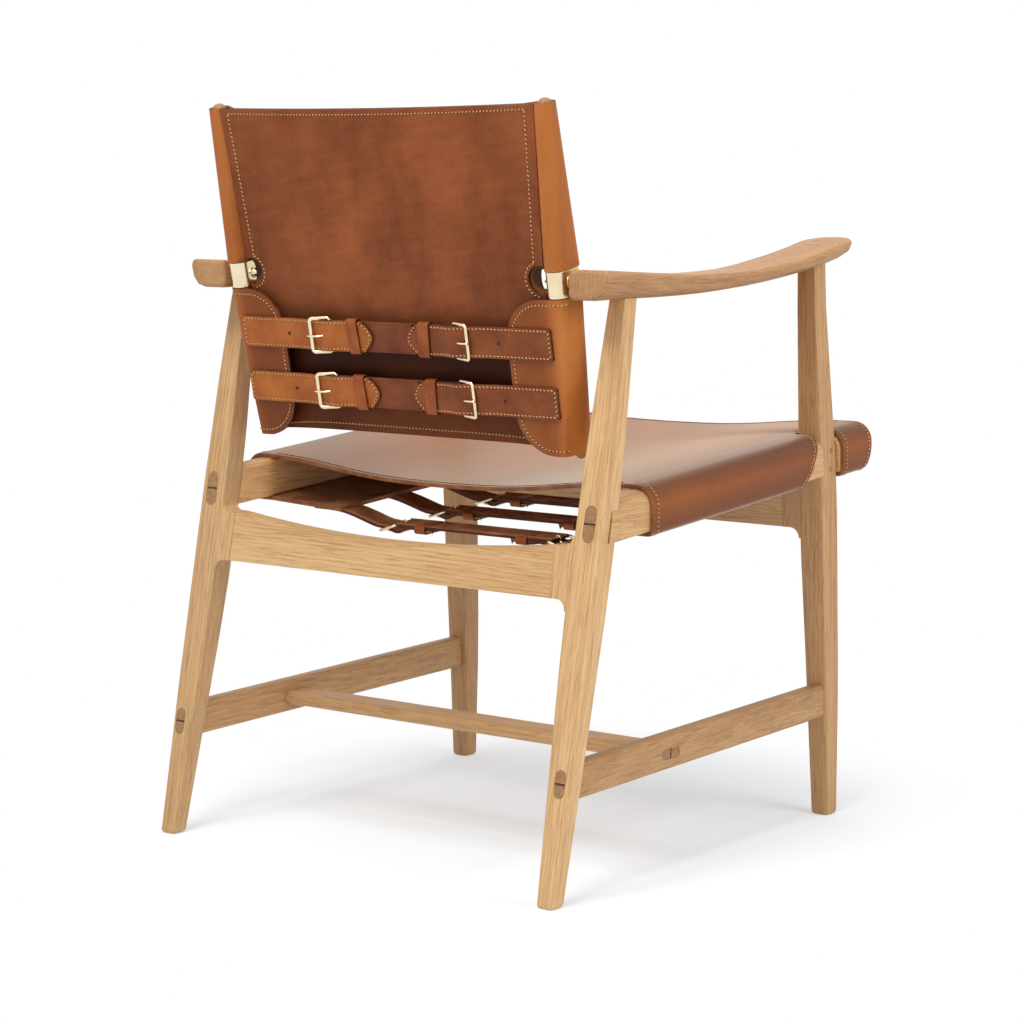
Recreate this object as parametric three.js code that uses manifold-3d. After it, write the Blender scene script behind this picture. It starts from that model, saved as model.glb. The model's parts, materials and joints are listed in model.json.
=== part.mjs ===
// Leather sling lounge chair: oak frame, pivoting sling back, strapped sling seat.
// Millimetres, +Z up, the front faces -Y and the sitter's left is +X.
import * as THREE from 'three';
import { mergeVertices } from 'three/addons/utils/BufferGeometryUtils.js';
import Module from 'manifold-3d';

const wasm = await Module();
wasm.setup();
const degree = Math.PI / 180;

// Fits, shared by every joint
const gap = 0.3;
const overrun = 60;
const seam = 0.2;

// Legs
const legOuter = 290;
const armUnderside = 634.5;
const rearFootBack = 261.7;
const rearLean = Math.tan(11.66 * degree);
const rearLegWide = 35.5;
const rearLegDeep = 30;
const frontFoot = 309.5;
const frontLegWide = 34.5;
const footRound = 4.5;
const footRoundShare = 0.75;
const legEdge = 4;
const rearLegIntoArm = 12;
const frontLegIntoArm = 36;
// Height share, width share, depth share, share of the width that the outer face draws in
const rearLegShares = [
  [0, 0.62, 0.74, 0.09], [0.25, 0.87, 0.88, 0.02], [0.47, 1, 1, 0], [0.63, 0.99, 1, 0],
  [0.73, 0.95, 0.96, 0.02], [0.84, 0.83, 0.88, 0.06], [1, 0.6, 0.79, 0.18],
];
// Height share, width share, share of the width that the outer face draws in, lean share
const frontLegShares = [
  [0, 0.68, 0.03, 0], [0.25, 0.85, 0.01, 0.03], [0.5, 0.97, 0.01, 0.2], [0.62, 1, 0.01, 0.28],
  [0.74, 0.94, 0.04, 0.49], [0.9, 0.82, 0.1, 0.8], [1, 0.74, 0.14, 1],
];
const frontLegLean = 36.5;

// Front and rear rails, with the haunch that each leg grows towards them
const shoulder = 233;
const railThick = 24;
const rearRailBottom = 318.7;
const rearRailEnd = 55;
const frontRailBottom = 348;
const frontRailEnd = 50;
const railDip = 15;
const haunchFillet = 12;
const frontRailLean = 0.045;
const railTenonLong = 16;
const railTenonShare = 0.5;
const railTenonShoulder = 6;
const boardEdge = 2;

// Side seat rails
const sideRailInner = 256;
const sideRailThick = 36;
const sideRailTall = 45;
const sideRailBottom = 376.8;
const sideRailRise = Math.tan(4.5 * degree);
const sideRailCrown = 18;
const sideRailEdge = 3;
const seatTenonTall = 38;
const seatTenonThick = 15;
const lapPlane = 272.5;
const frontReach = 357;
const dowelRadius = 3;
const dowelLong = 27;
const dowelHeights = [441, 419];
const dowelFront = 283;

// Stretchers
const stretcherInner = 268;
const stretcherThick = 18;
const stretcherTall = 39;
const stretcherMiddle = 129.7;
const stretcherRise = Math.tan(1.25 * degree);
const stretcherTenonTall = 29;
const stretcherTenonThick = 13;
const stretcherFrontTenon = 9;
const crossMiddle = 42;
const crossLevel = 132;
const crossWide = 42;
const crossThick = 16;
const crossEdge = 6.5;
const crossTenonWide = 34;
const crossTenonThick = 11;

// Wedges
const wedgeThick = 2.8;
const wedgeTip = 1.2;
const wedgeDeep = 20;
const armWedgeDeep = 14;

// Armrests
const armRear = 184;
const armPastLeg = 39;
const armLong = armRear + frontFoot - frontLegLean + armPastLeg;
const armThick = 32.5;
const armTopRear = armUnderside + armThick;
const armRise = 25;
const armInner = 247.2;
const armOverhang = 10;
const armOuter = legOuter + armOverhang;
const armFlare = 10;
const armFlareInner = 4;
const armEndRound = 5;
const armTopEdge = 5;
const armInnerEdge = 6;
const armEdgeLimitShare = 0.3;
const armTopLimitShare = 0.24;
const armRollShare = 0.38;
const armRollTallShare = 0.74;
const armTopShares = [
  [0, 0], [0.09, -0.1], [0.19, -0.22], [0.29, -0.32], [0.37, -0.38], [0.43, -0.38],
  [0.57, -0.28], [0.71, 0.04], [0.84, 0.43], [0.93, 0.79], [1, 1],
];
const armThickShares = [
  [0, 1], [0.09, 0.91], [0.19, 0.83], [0.29, 0.75], [0.37, 0.68], [0.43, 0.65],
  [0.57, 0.59], [0.71, 0.61], [0.84, 0.64], [0.93, 0.65], [1, 0.49],
];
const armFlareShares = [[0, 0], [0.3, 0.1], [0.6, 0.55], [0.8, 1], [1, 1]];
const armTipLift = 4;
const tipSpareShare = 0.3;
const armTipTopShare = 0.3;
const armTenonWide = 20;
const armTenonDeep = 13;
const armTenonBlind = 14;

// Back: pivot place, lean and the posts' spread; measured along the posts from the pivot
const pivotBack = 164.8;
const pivotDrop = 14;
const pivotHeight = armTopRear - pivotDrop;
const backLean = 11.65 * degree;
const postSpread = 228;
const postSplay = 1.17 * degree;
const postTop = 196;
const postBottom = 195.5;
const postNeck = 10.3;
const postDeep = 9;
const postTopRadius = 8.5;
const postLowRadius = 6.8;
const postDome = 8;
const hullSides = 18;
const collarWall = 1.9;
const collarTall = 29;

// Back sling: the wrap is the hull of a front and a rear circle around each post
const leather = 3;
const wrapTop = 191.5;
const wrapBottom = 187.5;
const wrapNeck = 15;
const wrapNeckRadius = 13.6;
const wrapEndRadius = 11.8;
const wrapRearRadius = 8;
const wrapRearInset = 8.2;
const wrapRearBack = 16.8;
const panelThick = 7;
const panelRear = 12.8;
const panelRearEnd = 9.2;
const panelDip = 3;
const panelBottom = 180.5;
const notchInset = 21;
const notchRadius = 15.5;
const notchRise = 4;
const flapReach = 67;
const flapCorner = 48;

// Strap rows
const strapWide = 35;
const strapTip = 88;
const barRadius = 2;
const buckleLong = 23;
const buckleSlack = 0.5;
const barChamferShare = 0.58;
const barLevel = 9;
const heelLevel = 1.5;
const eyeWall = 2.6;
const keeperWall = 2.2;
const keeperWide = 12;
const keeperPlace = 61.5;
const prongThick = 2.4;
const prongWide = 3;
const prongSlack = 0.8;
const prongEyeWall = 1.6;
// Along from the outer bar to the heel bar, and up from the heel bar to its seat on the outer bar
const prongShares = [
  [0.94, 0.27], [0.77, 0.44], [0.57, 0.76], [0.38, 0.97], [0.1, 1], [-0.13, 0.98],
];
const billetRise = 3.5;
const billetShares = [
  [-0.3, -0.25], [0, -0.03], [0.35, 0.2], [0.67, 0.6], [0.91, 1], [1.09, 1], [1.4, 0.4],
  [1.7, 0.04], [1.95, 0],
];
const tipPoint = 12;
const holeRadius = 1.6;
const holePitch = 19.5;
const holeFromHeel = 7.5;
const holeShares = [-2, 1];
const backBar = 112.5;
const backBilletEnd = 222;
const backRows = [-63.5, -128];

// Pivot hardware
const boltRadius = 3;
const boltIntoArm = 34;
const spacerRadius = 7;
const spacerDome = 2.4;
const flangeRadius = 6.4;
const flangeThick = 1.4;
const flangeEdge = 0.5;
const noseRadius = 5.2;
const noseTip = 1.6;
const noseLong = 10;
const noseBore = 2;

// Seat sling, measured across the chair and above the rails' underside
const seatLeather = 5;
const seatRear = 94;
const seatFront = 363;
const seatSag = 18;
const sagAlongShares = [[0, 1], [0.3, 1.06], [0.6, 1], [1, 0.82]];
const sagAcrossShares = [
  [0, 1], [0.18, 0.965], [0.35, 0.87], [0.53, 0.64], [0.7, 0.34], [0.86, 0.11], [1, 0],
];
const flapDroop = 5.5;
const flapLeft = 150;
const flapRight = 195;
const flapFront = 200;
const flapFrontInner = 150;
const flapDroopShares = [0.55, 0.05];
const flapFrontShares = [[1, 0], [0.7, 0.06], [0.4, 0.22], [0.15, 0.55], [0, 1]];
const underShare = 0.45;
const noseRear = 299;
const noseFlap = 225;
const slitClear = 2;
const slitReach = 12;
const slitWide = 2;
const frontCorner = 27;
const cutShares = [[1.18, 0], [1, 0.12], [0.67, 0.32], [0.22, 0.5], [0, 0.72], [-0.18, 1]];
const cutSpread = 62;
const seatRowX = -40;
const seatBar = 134;
const seatRowDrop = 21;
const seatRows = [70, -20, -110];
const seatBilletSewn = 45;

const looks = {
  oakLight: { color: 0xd6b280, roughness: 0.55, metalness: 0 },
  oak: { color: 0xc59a68, roughness: 0.55, metalness: 0 },
  wedge: { color: 0x3a2a1e, roughness: 0.6, metalness: 0 },
  leather: { color: 0xb06f3c, roughness: 0.5, metalness: 0 },
  strap: { color: 0xa5623a, roughness: 0.55, metalness: 0 },
  connector: { color: 0x6e3c28, roughness: 0.55, metalness: 0 },
  brass: { color: 0xbea564, roughness: 0.25, metalness: 1 },
};

const chair = new THREE.Group();
const originShift = (seatFront - rearLegAt(footRound).back) / 2;

// A closed solid from a three.js geometry
function solid(geometry) {
  geometry.deleteAttribute('normal');
  geometry.deleteAttribute('uv');
  const merged = mergeVertices(geometry);
  return new wasm.Manifold(new wasm.Mesh({
    numProp: 3,
    vertProperties: Float32Array.from(merged.attributes.position.array),
    triVerts: Uint32Array.from(merged.index.array),
  }));
}

function meshOf(name, body, look) {
  const { vertProperties, triVerts } = body.getMesh();
  const geometry = new THREE.BufferGeometry();
  geometry.setAttribute('position', new THREE.BufferAttribute(vertProperties, 3));
  geometry.setIndex(new THREE.BufferAttribute(triVerts, 1));
  geometry.translate(0, originShift, 0);
  geometry.computeVertexNormals();
  const mesh = new THREE.Mesh(geometry, new THREE.MeshStandardMaterial(look));
  mesh.name = name;
  return mesh;
}

function add(name, body, look) {
  chair.add(meshOf(name, body, look));
}

function mirrorX(body) {
  const { vertProperties, triVerts } = body.getMesh();
  const positions = Float32Array.from(vertProperties, (v, i) => (i % 3 === 0 ? -v : v));
  const geometry = new THREE.BufferGeometry();
  geometry.setAttribute('position', new THREE.BufferAttribute(positions, 3));
  geometry.setIndex(Array.from(triVerts).reverse());
  return solid(geometry);
}

// The sitter's left piece and its mirror image on the right
function addPair(name, body, look) {
  add(`${name}_left`, body, look);
  add(`${name}_right`, mirrorX(body), look);
}

// A smooth value through a table of [place, value] rows
function through(rows, at, column = 1) {
  const last = rows.length - 1;
  let i = 0;
  while (i < last - 1 && at > rows[i + 1][0]) i += 1;
  const slope = (j) => {
    const before = rows[Math.max(j - 1, 0)];
    const after = rows[Math.min(j + 1, last)];
    return (after[column] - before[column]) / (after[0] - before[0]);
  };
  const span = rows[i + 1][0] - rows[i][0];
  const t = (at - rows[i][0]) / span;
  const easeIn = t * t * (3 - 2 * t);
  const rise = t * (1 - t) * (1 - t);
  const fall = t * t * (1 - t);
  return rows[i][column] * (1 - easeIn) + rows[i + 1][column] * easeIn
    + span * (slope(i) * rise - slope(i + 1) * fall);
}

// Rings of points joined into one closed body, capped at both ends
function loft(rings, flatten) {
  const count = rings[0].length;
  const positions = [];
  rings.forEach((ring) => ring.forEach((p) => positions.push(p.x, p.y, p.z)));
  const index = [];
  for (let r = 0; r < rings.length - 1; r += 1) {
    for (let i = 0; i < count; i += 1) {
      const a = r * count + i;
      const b = r * count + (i + 1) % count;
      index.push(a, b, b + count, a, b + count, a + count);
    }
  }
  [0, rings.length - 1].forEach((r) => {
    const flat = rings[r].map(flatten);
    THREE.ShapeUtils.triangulateShape(flat, []).forEach(([a, b, c]) => {
      const order = (r === 0) === (THREE.ShapeUtils.area(flat) > 0) ? [c, b, a] : [a, b, c];
      index.push(...order.map((i) => i + r * count));
    });
  });
  if (volume(positions, index) < 0) index.reverse();
  const geometry = new THREE.BufferGeometry();
  geometry.setAttribute('position', new THREE.Float32BufferAttribute(positions, 3));
  geometry.setIndex(index);
  return geometry;
}

function volume(positions, index) {
  const corner = (i) => new THREE.Vector3().fromArray(positions, index[i] * 3);
  let sum = 0;
  for (let i = 0; i < index.length; i += 3) {
    sum += corner(i).dot(corner(i + 1).cross(corner(i + 2)));
  }
  return sum;
}

// Corner points of a rounded box, each corner an ellipse quarter [across, up]
function roundedPoints(x0, x1, y0, y1, corners, steps = 3) {
  const points = [];
  const middles = [
    (a, b) => [x1 - a, y1 - b], (a, b) => [x0 + a, y1 - b],
    (a, b) => [x0 + a, y0 + b], (a, b) => [x1 - a, y0 + b],
  ];
  corners.forEach(([a, b], quarter) => {
    const [cx, cy] = middles[quarter](a, b);
    for (let i = 0; i <= steps; i += 1) {
      const turn = (quarter + i / steps) * Math.PI / 2;
      points.push(new THREE.Vector2(cx + a * Math.cos(turn), cy + b * Math.sin(turn)));
    }
  });
  return points;
}

function roundedShape(x0, x1, y0, y1, radius, steps = 3) {
  const corner = [radius, radius];
  return new THREE.Shape(roundedPoints(x0, x1, y0, y1, [corner, corner, corner, corner], steps));
}

function prismZ(shape, z0, z1) {
  const geometry = new THREE.ExtrudeGeometry(shape, { depth: z1 - z0, bevelEnabled: false });
  return geometry.translate(0, 0, z0);
}

// The shape's own axes are X and Z
function prismY(shape, y0, y1) {
  const geometry = new THREE.ExtrudeGeometry(shape, { depth: y1 - y0, bevelEnabled: false });
  return geometry.rotateX(Math.PI / 2).translate(0, y1, 0);
}

// The shape's own axes are Y and Z
function prismX(shape, x0, x1) {
  const geometry = new THREE.ExtrudeGeometry(shape, { depth: x1 - x0, bevelEnabled: false });
  const turn = new THREE.Matrix4().makeBasis(
    new THREE.Vector3(0, 1, 0), new THREE.Vector3(0, 0, 1), new THREE.Vector3(1, 0, 0),
  );
  return geometry.applyMatrix4(turn).translate(x0, 0, 0);
}

function box(x0, x1, y0, y1, z0, z1) {
  const geometry = new THREE.BoxGeometry(x1 - x0, y1 - y0, z1 - z0);
  return solid(geometry.translate((x0 + x1) / 2, (y0 + y1) / 2, (z0 + z1) / 2));
}

// Slant a geometry: y gains leanY per z, z gains riseZ per step towards the front
function slant(geometry, leanY, riseZ) {
  return geometry.applyMatrix4(new THREE.Matrix4().set(
    1, 0, 0, 0,
    0, 1, leanY, 0,
    0, -riseZ, 1, 0,
    0, 0, 0, 1,
  ));
}

function rod(from, to, radius, sides = 8) {
  const way = to.clone().sub(from);
  const geometry = new THREE.CylinderGeometry(radius, radius, way.length(), sides);
  const turn = new THREE.Quaternion().setFromUnitVectors(
    new THREE.Vector3(0, 1, 0), way.clone().normalize(),
  );
  geometry.applyQuaternion(turn);
  const middle = from.clone().add(to).multiplyScalar(0.5);
  return geometry.translate(middle.x, middle.y, middle.z);
}

function rodX(radius, x0, x1, y, z, sides = 16) {
  return solid(rod(new THREE.Vector3(x0, y, z), new THREE.Vector3(x1, y, z), radius, sides));
}

const rearLegTop = armUnderside + rearLegIntoArm;
const frontLegTop = armUnderside + frontLegIntoArm;

// Where each leg's faces lie at a height
function rearLegAt(z) {
  const share = Math.min(z / armUnderside, 1);
  const wide = rearLegWide * through(rearLegShares, share, 1);
  const outer = legOuter - rearLegWide * through(rearLegShares, share, 3);
  const back = rearFootBack - rearLean * z;
  const front = back - rearLegDeep * through(rearLegShares, share, 2);
  return { outer, inner: outer - wide, front, back };
}

function frontLegAt(z) {
  const share = Math.min(z / armUnderside, 1);
  const wide = frontLegWide * through(frontLegShares, share, 1);
  const outer = legOuter - frontLegWide * through(frontLegShares, share, 2);
  const front = -frontFoot + frontLegLean * through(frontLegShares, share, 3);
  return { outer, inner: outer - wide, front, back: front + wide };
}

// The leg's long shape; a grown copy cuts what passes it
function legSolid(facesAt, legTop, grow = 0, outerGrow = grow) {
  const rings = [];
  const ringAt = (z, inset) => {
    const faces = facesAt(z);
    const corner = [legEdge, legEdge];
    const points = roundedPoints(
      faces.inner - grow + inset, faces.outer + outerGrow - inset,
      faces.front - grow + inset, faces.back + grow - inset,
      [corner, corner, corner, corner], 2,
    );
    rings.push(points.map((p) => new THREE.Vector3(p.x, p.y, z)));
  };
  const footSteps = 3;
  for (let i = 0; i < footSteps; i += 1) {
    const turn = (i / footSteps) * Math.PI / 2;
    ringAt(footRound * (1 - Math.cos(turn)), footRound * footRoundShare * (1 - Math.sin(turn)));
  }
  const steps = 11;
  for (let i = 0; i <= steps; i += 1) {
    ringAt(footRound + (legTop - footRound) * i / steps, 0);
  }
  return solid(loft(rings, (p) => new THREE.Vector2(p.x, p.y)));
}

// The rail's outline between the shoulders, or the haunch beyond one of them
function railTop(x, bottom, endTall) {
  const share = Math.abs(x) / shoulder;
  return bottom + endTall - railDip * (1 - share * share);
}

function railOutline(bottom, endTall) {
  const edge = shoulder - gap;
  const points = [new THREE.Vector2(-edge, bottom), new THREE.Vector2(edge, bottom)];
  const steps = 16;
  for (let i = 0; i <= steps; i += 1) {
    const x = edge * (1 - 2 * i / steps);
    points.push(new THREE.Vector2(x, railTop(x, bottom, endTall)));
  }
  return new THREE.Shape(points);
}

function haunchOutline(bottom, endTall, legInner) {
  const top = bottom + endTall;
  const start = legInner - haunchFillet;
  const inside = legInner + legEdge + haunchFillet / 2;
  const shape = new THREE.Shape();
  shape.moveTo(shoulder, bottom);
  shape.lineTo(start, bottom);
  shape.absarc(start, bottom - haunchFillet, haunchFillet, Math.PI / 2, 0, true);
  shape.lineTo(inside, bottom - haunchFillet);
  shape.lineTo(inside, top + haunchFillet);
  shape.lineTo(legInner, top + haunchFillet);
  shape.absarc(start, top + haunchFillet, haunchFillet, 0, -Math.PI / 2, true);
  shape.lineTo(shoulder, top);
  return shape;
}

// A board lying in the plane of two legs, its back face leaning with them
function leaningBoard(shape, backAtFloor, lean, thick) {
  const geometry = new THREE.ExtrudeGeometry(shape, {
    depth: thick, bevelEnabled: false, curveSegments: 5,
  });
  geometry.rotateX(Math.PI / 2).translate(0, backAtFloor - seam, 0);
  return solid(slant(geometry, lean, 0));
}

const frontBoardBack = frontLegAt(frontRailBottom + frontRailEnd / 2).back
  - frontRailLean * (frontRailBottom + frontRailEnd / 2);

const railPlanes = {
  rear: { bottom: rearRailBottom, end: rearRailEnd, back: rearFootBack, lean: -rearLean },
  front: { bottom: frontRailBottom, end: frontRailEnd, back: frontBoardBack, lean: frontRailLean },
};

function railTenon(plane, grow) {
  const thick = railThick * railTenonShare;
  const inset = (railThick - thick) / 2;
  const tall = plane.end - 2 * railTenonShoulder;
  const middle = plane.bottom + plane.end / 2 - boardEdge;
  const shape = roundedShape(
    shoulder - railTenonLong / 2, shoulder + railTenonLong + grow,
    middle - tall / 2 - grow, middle + tall / 2 + grow, boardEdge,
  );
  return leaningBoard(shape, plane.back - inset + grow, plane.lean, thick + 2 * grow);
}

function makeRail(plane) {
  const body = leaningBoard(railOutline(plane.bottom, plane.end), plane.back, plane.lean, railThick);
  const tenon = railTenon(plane, 0);
  return body.add(tenon).add(mirrorX(tenon));
}

function haunch(plane, facesAt) {
  const legInner = facesAt(plane.bottom + plane.end / 2).inner;
  const body = leaningBoard(
    haunchOutline(plane.bottom, plane.end, legInner), plane.back, plane.lean, railThick,
  );
  return body.subtract(railTenon(plane, gap));
}

// Side seat rails: drawn level, then raised towards the front
function railSection(grow) {
  const edge = sideRailEdge + grow;
  const crown = sideRailCrown + grow;
  return new THREE.Shape(roundedPoints(
    sideRailInner - grow, sideRailInner + sideRailThick + grow, -grow, sideRailTall + grow,
    [[crown, crown], [edge * 2, edge * 2], [edge, edge], [edge, edge]], 4,
  ));
}

const tenonBack = rearLegAt(sideRailBottom + sideRailTall / 2).back;

function ontoSeat(geometry) {
  return slant(geometry.translate(0, -tenonBack, 0), 0, sideRailRise)
    .translate(0, tenonBack, sideRailBottom);
}

function sideRailSolid(grow) {
  return solid(ontoSeat(prismY(railSection(grow), -frontReach - grow, tenonBack)));
}

// All that lies behind the raked back plane, or behind a plane in front of it
function behindRake(forward) {
  const foot = rearFootBack - forward;
  const top = foot - rearLean * armUnderside;
  const far = rearFootBack + overrun;
  return solid(prismX(new THREE.Shape([
    new THREE.Vector2(foot, 0), new THREE.Vector2(top, armUnderside),
    new THREE.Vector2(far, armUnderside), new THREE.Vector2(far, 0),
  ]), 0, legOuter + overrun));
}

const behindBack = behindRake(0);
const behindMiddle = behindRake(rearLegDeep / 2);
const aroundRearLeg = legSolid(rearLegAt, rearLegTop, gap).add(behindMiddle);
const aroundFrontLeg = legSolid(frontLegAt, frontLegTop, gap);

// Upright tenon with round ends, and the mortise when grown
function seatTenon(grow) {
  const middle = sideRailInner + sideRailThick / 2;
  const half = seatTenonThick / 2 + grow;
  const rise = seatTenonTall / 2 + grow;
  const level = sideRailTall / 2;
  const shape = roundedShape(middle - half, middle + half, level - rise, level + rise, half, 5);
  return solid(ontoSeat(prismY(shape, tenonBack - rearLegDeep * 2, rearFootBack)));
}

// A wedge drawn with its wide end at the outside; size along, across and in depth
function wedgeShape(grow, deep = wedgeDeep) {
  const face = wedgeThick / 2 + grow;
  const tip = wedgeTip / 2 + grow;
  return new THREE.Shape([
    new THREE.Vector2(-deep - grow, -tip), new THREE.Vector2(overrun, -face),
    new THREE.Vector2(overrun, face), new THREE.Vector2(-deep - grow, tip),
  ]);
}

function levelWedge(middle, half, back, level, grow) {
  return solid(prismX(wedgeShape(grow), middle - half, middle + half).translate(0, back, level));
}

const railMiddle = sideRailInner + sideRailThick / 2;
const seatWedgeLevel = sideRailBottom + sideRailTall / 2;
const stretcherMiddleX = stretcherInner + stretcherThick / 2;
const stretcherBack = rearLegAt(stretcherMiddle).back;

function seatWedge(half, grow) {
  return levelWedge(railMiddle, half, tenonBack, seatWedgeLevel, grow);
}

function stretcherWedge(half, grow) {
  return levelWedge(stretcherMiddleX, half, stretcherBack, stretcherMiddle, grow);
}

// Armrest: sections from its rear end to its round tip
function armAt(share) {
  const flare = through(armFlareShares, share);
  const top = armTopRear + armRise * through(armTopShares, share);
  return {
    inner: armInner - armFlareInner * flare,
    outer: armOuter + armFlare * flare,
    top,
    bottom: top - armThick * through(armThickShares, share),
  };
}

function armRing(share, y, insetX, insetLow, insetTop) {
  const faces = armAt(share);
  const x0 = faces.inner + insetX;
  const x1 = faces.outer - insetX;
  const z0 = faces.bottom + insetLow;
  const z1 = faces.top - insetTop;
  const wide = x1 - x0;
  const tall = z1 - z0;
  const limit = (size, whole, share = armEdgeLimitShare) => Math.min(size, whole * share);
  const corners = [
    [limit(armTopEdge, wide), limit(armTopEdge, tall, armTopLimitShare)],
    [limit(armTopEdge, wide), limit(armTopEdge, tall, armTopLimitShare)],
    [limit(armInnerEdge, wide), limit(armInnerEdge, tall)],
    [wide * armRollShare, tall * armRollTallShare],
  ];
  return roundedPoints(x0, x1, z0, z1, corners, 3).map((p) => new THREE.Vector3(p.x, y, p.y));
}

function armSolid() {
  const rings = [];
  const roundSteps = 3;
  for (let i = 0; i < roundSteps; i += 1) {
    const turn = (i / roundSteps) * Math.PI / 2;
    const back = armEndRound * (1 - Math.cos(turn));
    const inset = armEndRound * (1 - Math.sin(turn));
    rings.push(armRing(0, armRear - back, inset, inset, inset));
  }
  const front = armAt(1);
  const tipRadius = (front.outer - front.inner) / 2;
  const straight = armLong - tipRadius;
  const steps = 12;
  for (let i = 0; i <= steps; i += 1) {
    const along = armEndRound + (straight - armEndRound) * i / steps;
    rings.push(armRing(along / armLong, armRear - along, 0, 0, 0));
  }
  const tipSteps = 6;
  for (let i = 1; i <= tipSteps; i += 1) {
    const turn = (i / (tipSteps + tipSpareShare)) * Math.PI / 2;
    const along = straight + tipRadius * Math.sin(turn);
    const narrower = tipRadius * (1 - Math.cos(turn));
    const lift = armTipLift * Math.pow(i / tipSteps, 3);
    rings.push(armRing(along / armLong, armRear - along, narrower, lift, lift * armTipTopShare));
  }
  return solid(loft(rings, (p) => new THREE.Vector2(p.x, p.z)));
}

const armBlank = armSolid();
const armLowered = armBlank.translate(0, 0, -gap);
const rearTop = rearLegAt(armUnderside);
const frontTop = frontLegAt(frontLegTop);
const rearTopMiddle = [(rearTop.inner + rearTop.outer) / 2, (rearTop.front + rearTop.back) / 2];
const frontTopMiddle = [(frontTop.inner + frontTop.outer) / 2, (frontTop.front + frontTop.back) / 2];

function blindTenon(grow) {
  const [x, y] = rearTopMiddle;
  const half = armTenonDeep / 2 + grow;
  return box(x - half, x + half, y - half, y + half,
    armUnderside - rearLegIntoArm, armUnderside + armTenonBlind + grow);
}

function throughTenon(grow) {
  const [x, y] = frontTopMiddle;
  const wide = armTenonWide / 2 + grow;
  const deep = armTenonDeep / 2 + grow;
  return box(x - wide, x + wide, y - deep, y + deep, armUnderside, armTopRear + overrun);
}

function armWedge(half, grow) {
  const [x, y] = frontTopMiddle;
  const top = armAt((armRear - y) / armLong).top;
  const turned = prismX(wedgeShape(grow, armWedgeDeep), -half, half).rotateX(Math.PI / 2);
  return solid(turned.translate(x, y, top));
}

function makeRearLeg() {
  const blank = legSolid(rearLegAt, rearLegTop).subtract(armLowered);
  return blank
    .add(haunch(railPlanes.rear, rearLegAt))
    .add(blindTenon(0))
    .subtract(seatTenon(gap))
    .subtract(stretcherTenon(gap));
}

function dowels(grow) {
  const inside = legOuter - dowelLong - grow;
  return dowelHeights.map((z) => rodX(dowelRadius + grow, inside, legOuter + overrun * grow, -dowelFront, z, 12));
}

function makeFrontLeg() {
  const column = throughTenon(0);
  const inArm = column.intersect(armBlank).add(column.intersect(armBlank.translate(0, 0, -armTopEdge)));
  const notch = sideRailSolid(gap).intersect(
    box(sideRailInner - overrun, lapPlane + gap / 2, -frontReach, 0, 0, armUnderside),
  );
  let leg = legSolid(frontLegAt, frontLegTop).subtract(armLowered)
    .add(haunch(railPlanes.front, frontLegAt))
    .add(inArm)
    .subtract(notch)
    .subtract(stretcherTip(gap))
    .subtract(armWedge(armTenonWide, gap));
  dowels(gap).forEach((hole) => { leg = leg.subtract(hole); });
  return leg;
}

function makeSideRail() {
  const lapCut = legSolid(frontLegAt, frontLegTop, gap, overrun).intersect(
    box(lapPlane - gap / 2, legOuter + overrun, -frontReach, 0, 0, armUnderside),
  );
  let rail = sideRailSolid(0).subtract(aroundRearLeg)
    .add(seatTenon(0).subtract(behindBack))
    .subtract(lapCut)
    .subtract(seatWedge(seatTenonThick, gap));
  dowels(gap).forEach((hole) => { rail = rail.subtract(hole); });
  return rail;
}

// Stretchers: level, then raised a little towards the front
function ontoStretcher(geometry) {
  return slant(geometry.translate(0, -stretcherBack, 0), 0, stretcherRise)
    .translate(0, stretcherBack, stretcherMiddle);
}

function stretcherTenon(grow) {
  const half = stretcherTenonThick / 2 + grow;
  const rise = stretcherTenonTall / 2 + grow;
  const shape = roundedShape(stretcherMiddleX - half, stretcherMiddleX + half, -rise, rise, half, 5);
  return solid(ontoStretcher(prismY(shape, stretcherBack - rearLegDeep * 2, rearFootBack)));
}

const stretcherFront = frontLegAt(stretcherMiddle).back;

function stretcherTip(grow) {
  const half = stretcherTenonThick / 2 + grow;
  const rise = stretcherTenonTall / 2 + grow;
  const shape = roundedShape(
    stretcherMiddleX - half, stretcherMiddleX + half, -rise, rise, boardEdge + grow,
  );
  return solid(ontoStretcher(prismY(shape, stretcherFront - stretcherFrontTenon - grow, 0)));
}

function crossTenon(grow) {
  const half = crossTenonWide / 2 + grow;
  const rise = crossTenonThick / 2 + grow;
  const shape = roundedShape(
    crossMiddle - half, crossMiddle + half, crossLevel - rise, crossLevel + rise, rise, 5,
  );
  const outside = stretcherInner + stretcherThick;
  return solid(prismX(shape, stretcherInner - crossEdge, outside + grow * overrun));
}

function crossWedge(half, grow) {
  const outside = stretcherInner + stretcherThick;
  const flat = new THREE.ExtrudeGeometry(wedgeShape(grow), { depth: half * 2, bevelEnabled: false });
  return solid(flat.translate(outside, crossMiddle, crossLevel - half));
}

function makeSideStretcher() {
  const section = roundedShape(
    stretcherInner, stretcherInner + stretcherThick, -stretcherTall / 2, stretcherTall / 2,
    boardEdge * 2,
  );
  const board = solid(ontoStretcher(prismY(section, stretcherFront + gap * 2, stretcherBack)));
  const tip = stretcherTip(0).intersect(box(
    stretcherInner, legOuter, -frontFoot, stretcherFront + footRound, 0, armUnderside,
  ));
  return board.subtract(aroundRearLeg)
    .subtract(aroundFrontLeg)
    .add(tip)
    .add(stretcherTenon(0).subtract(behindBack))
    .subtract(crossTenon(gap))
    .subtract(stretcherWedge(stretcherTenonThick, gap));
}

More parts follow.
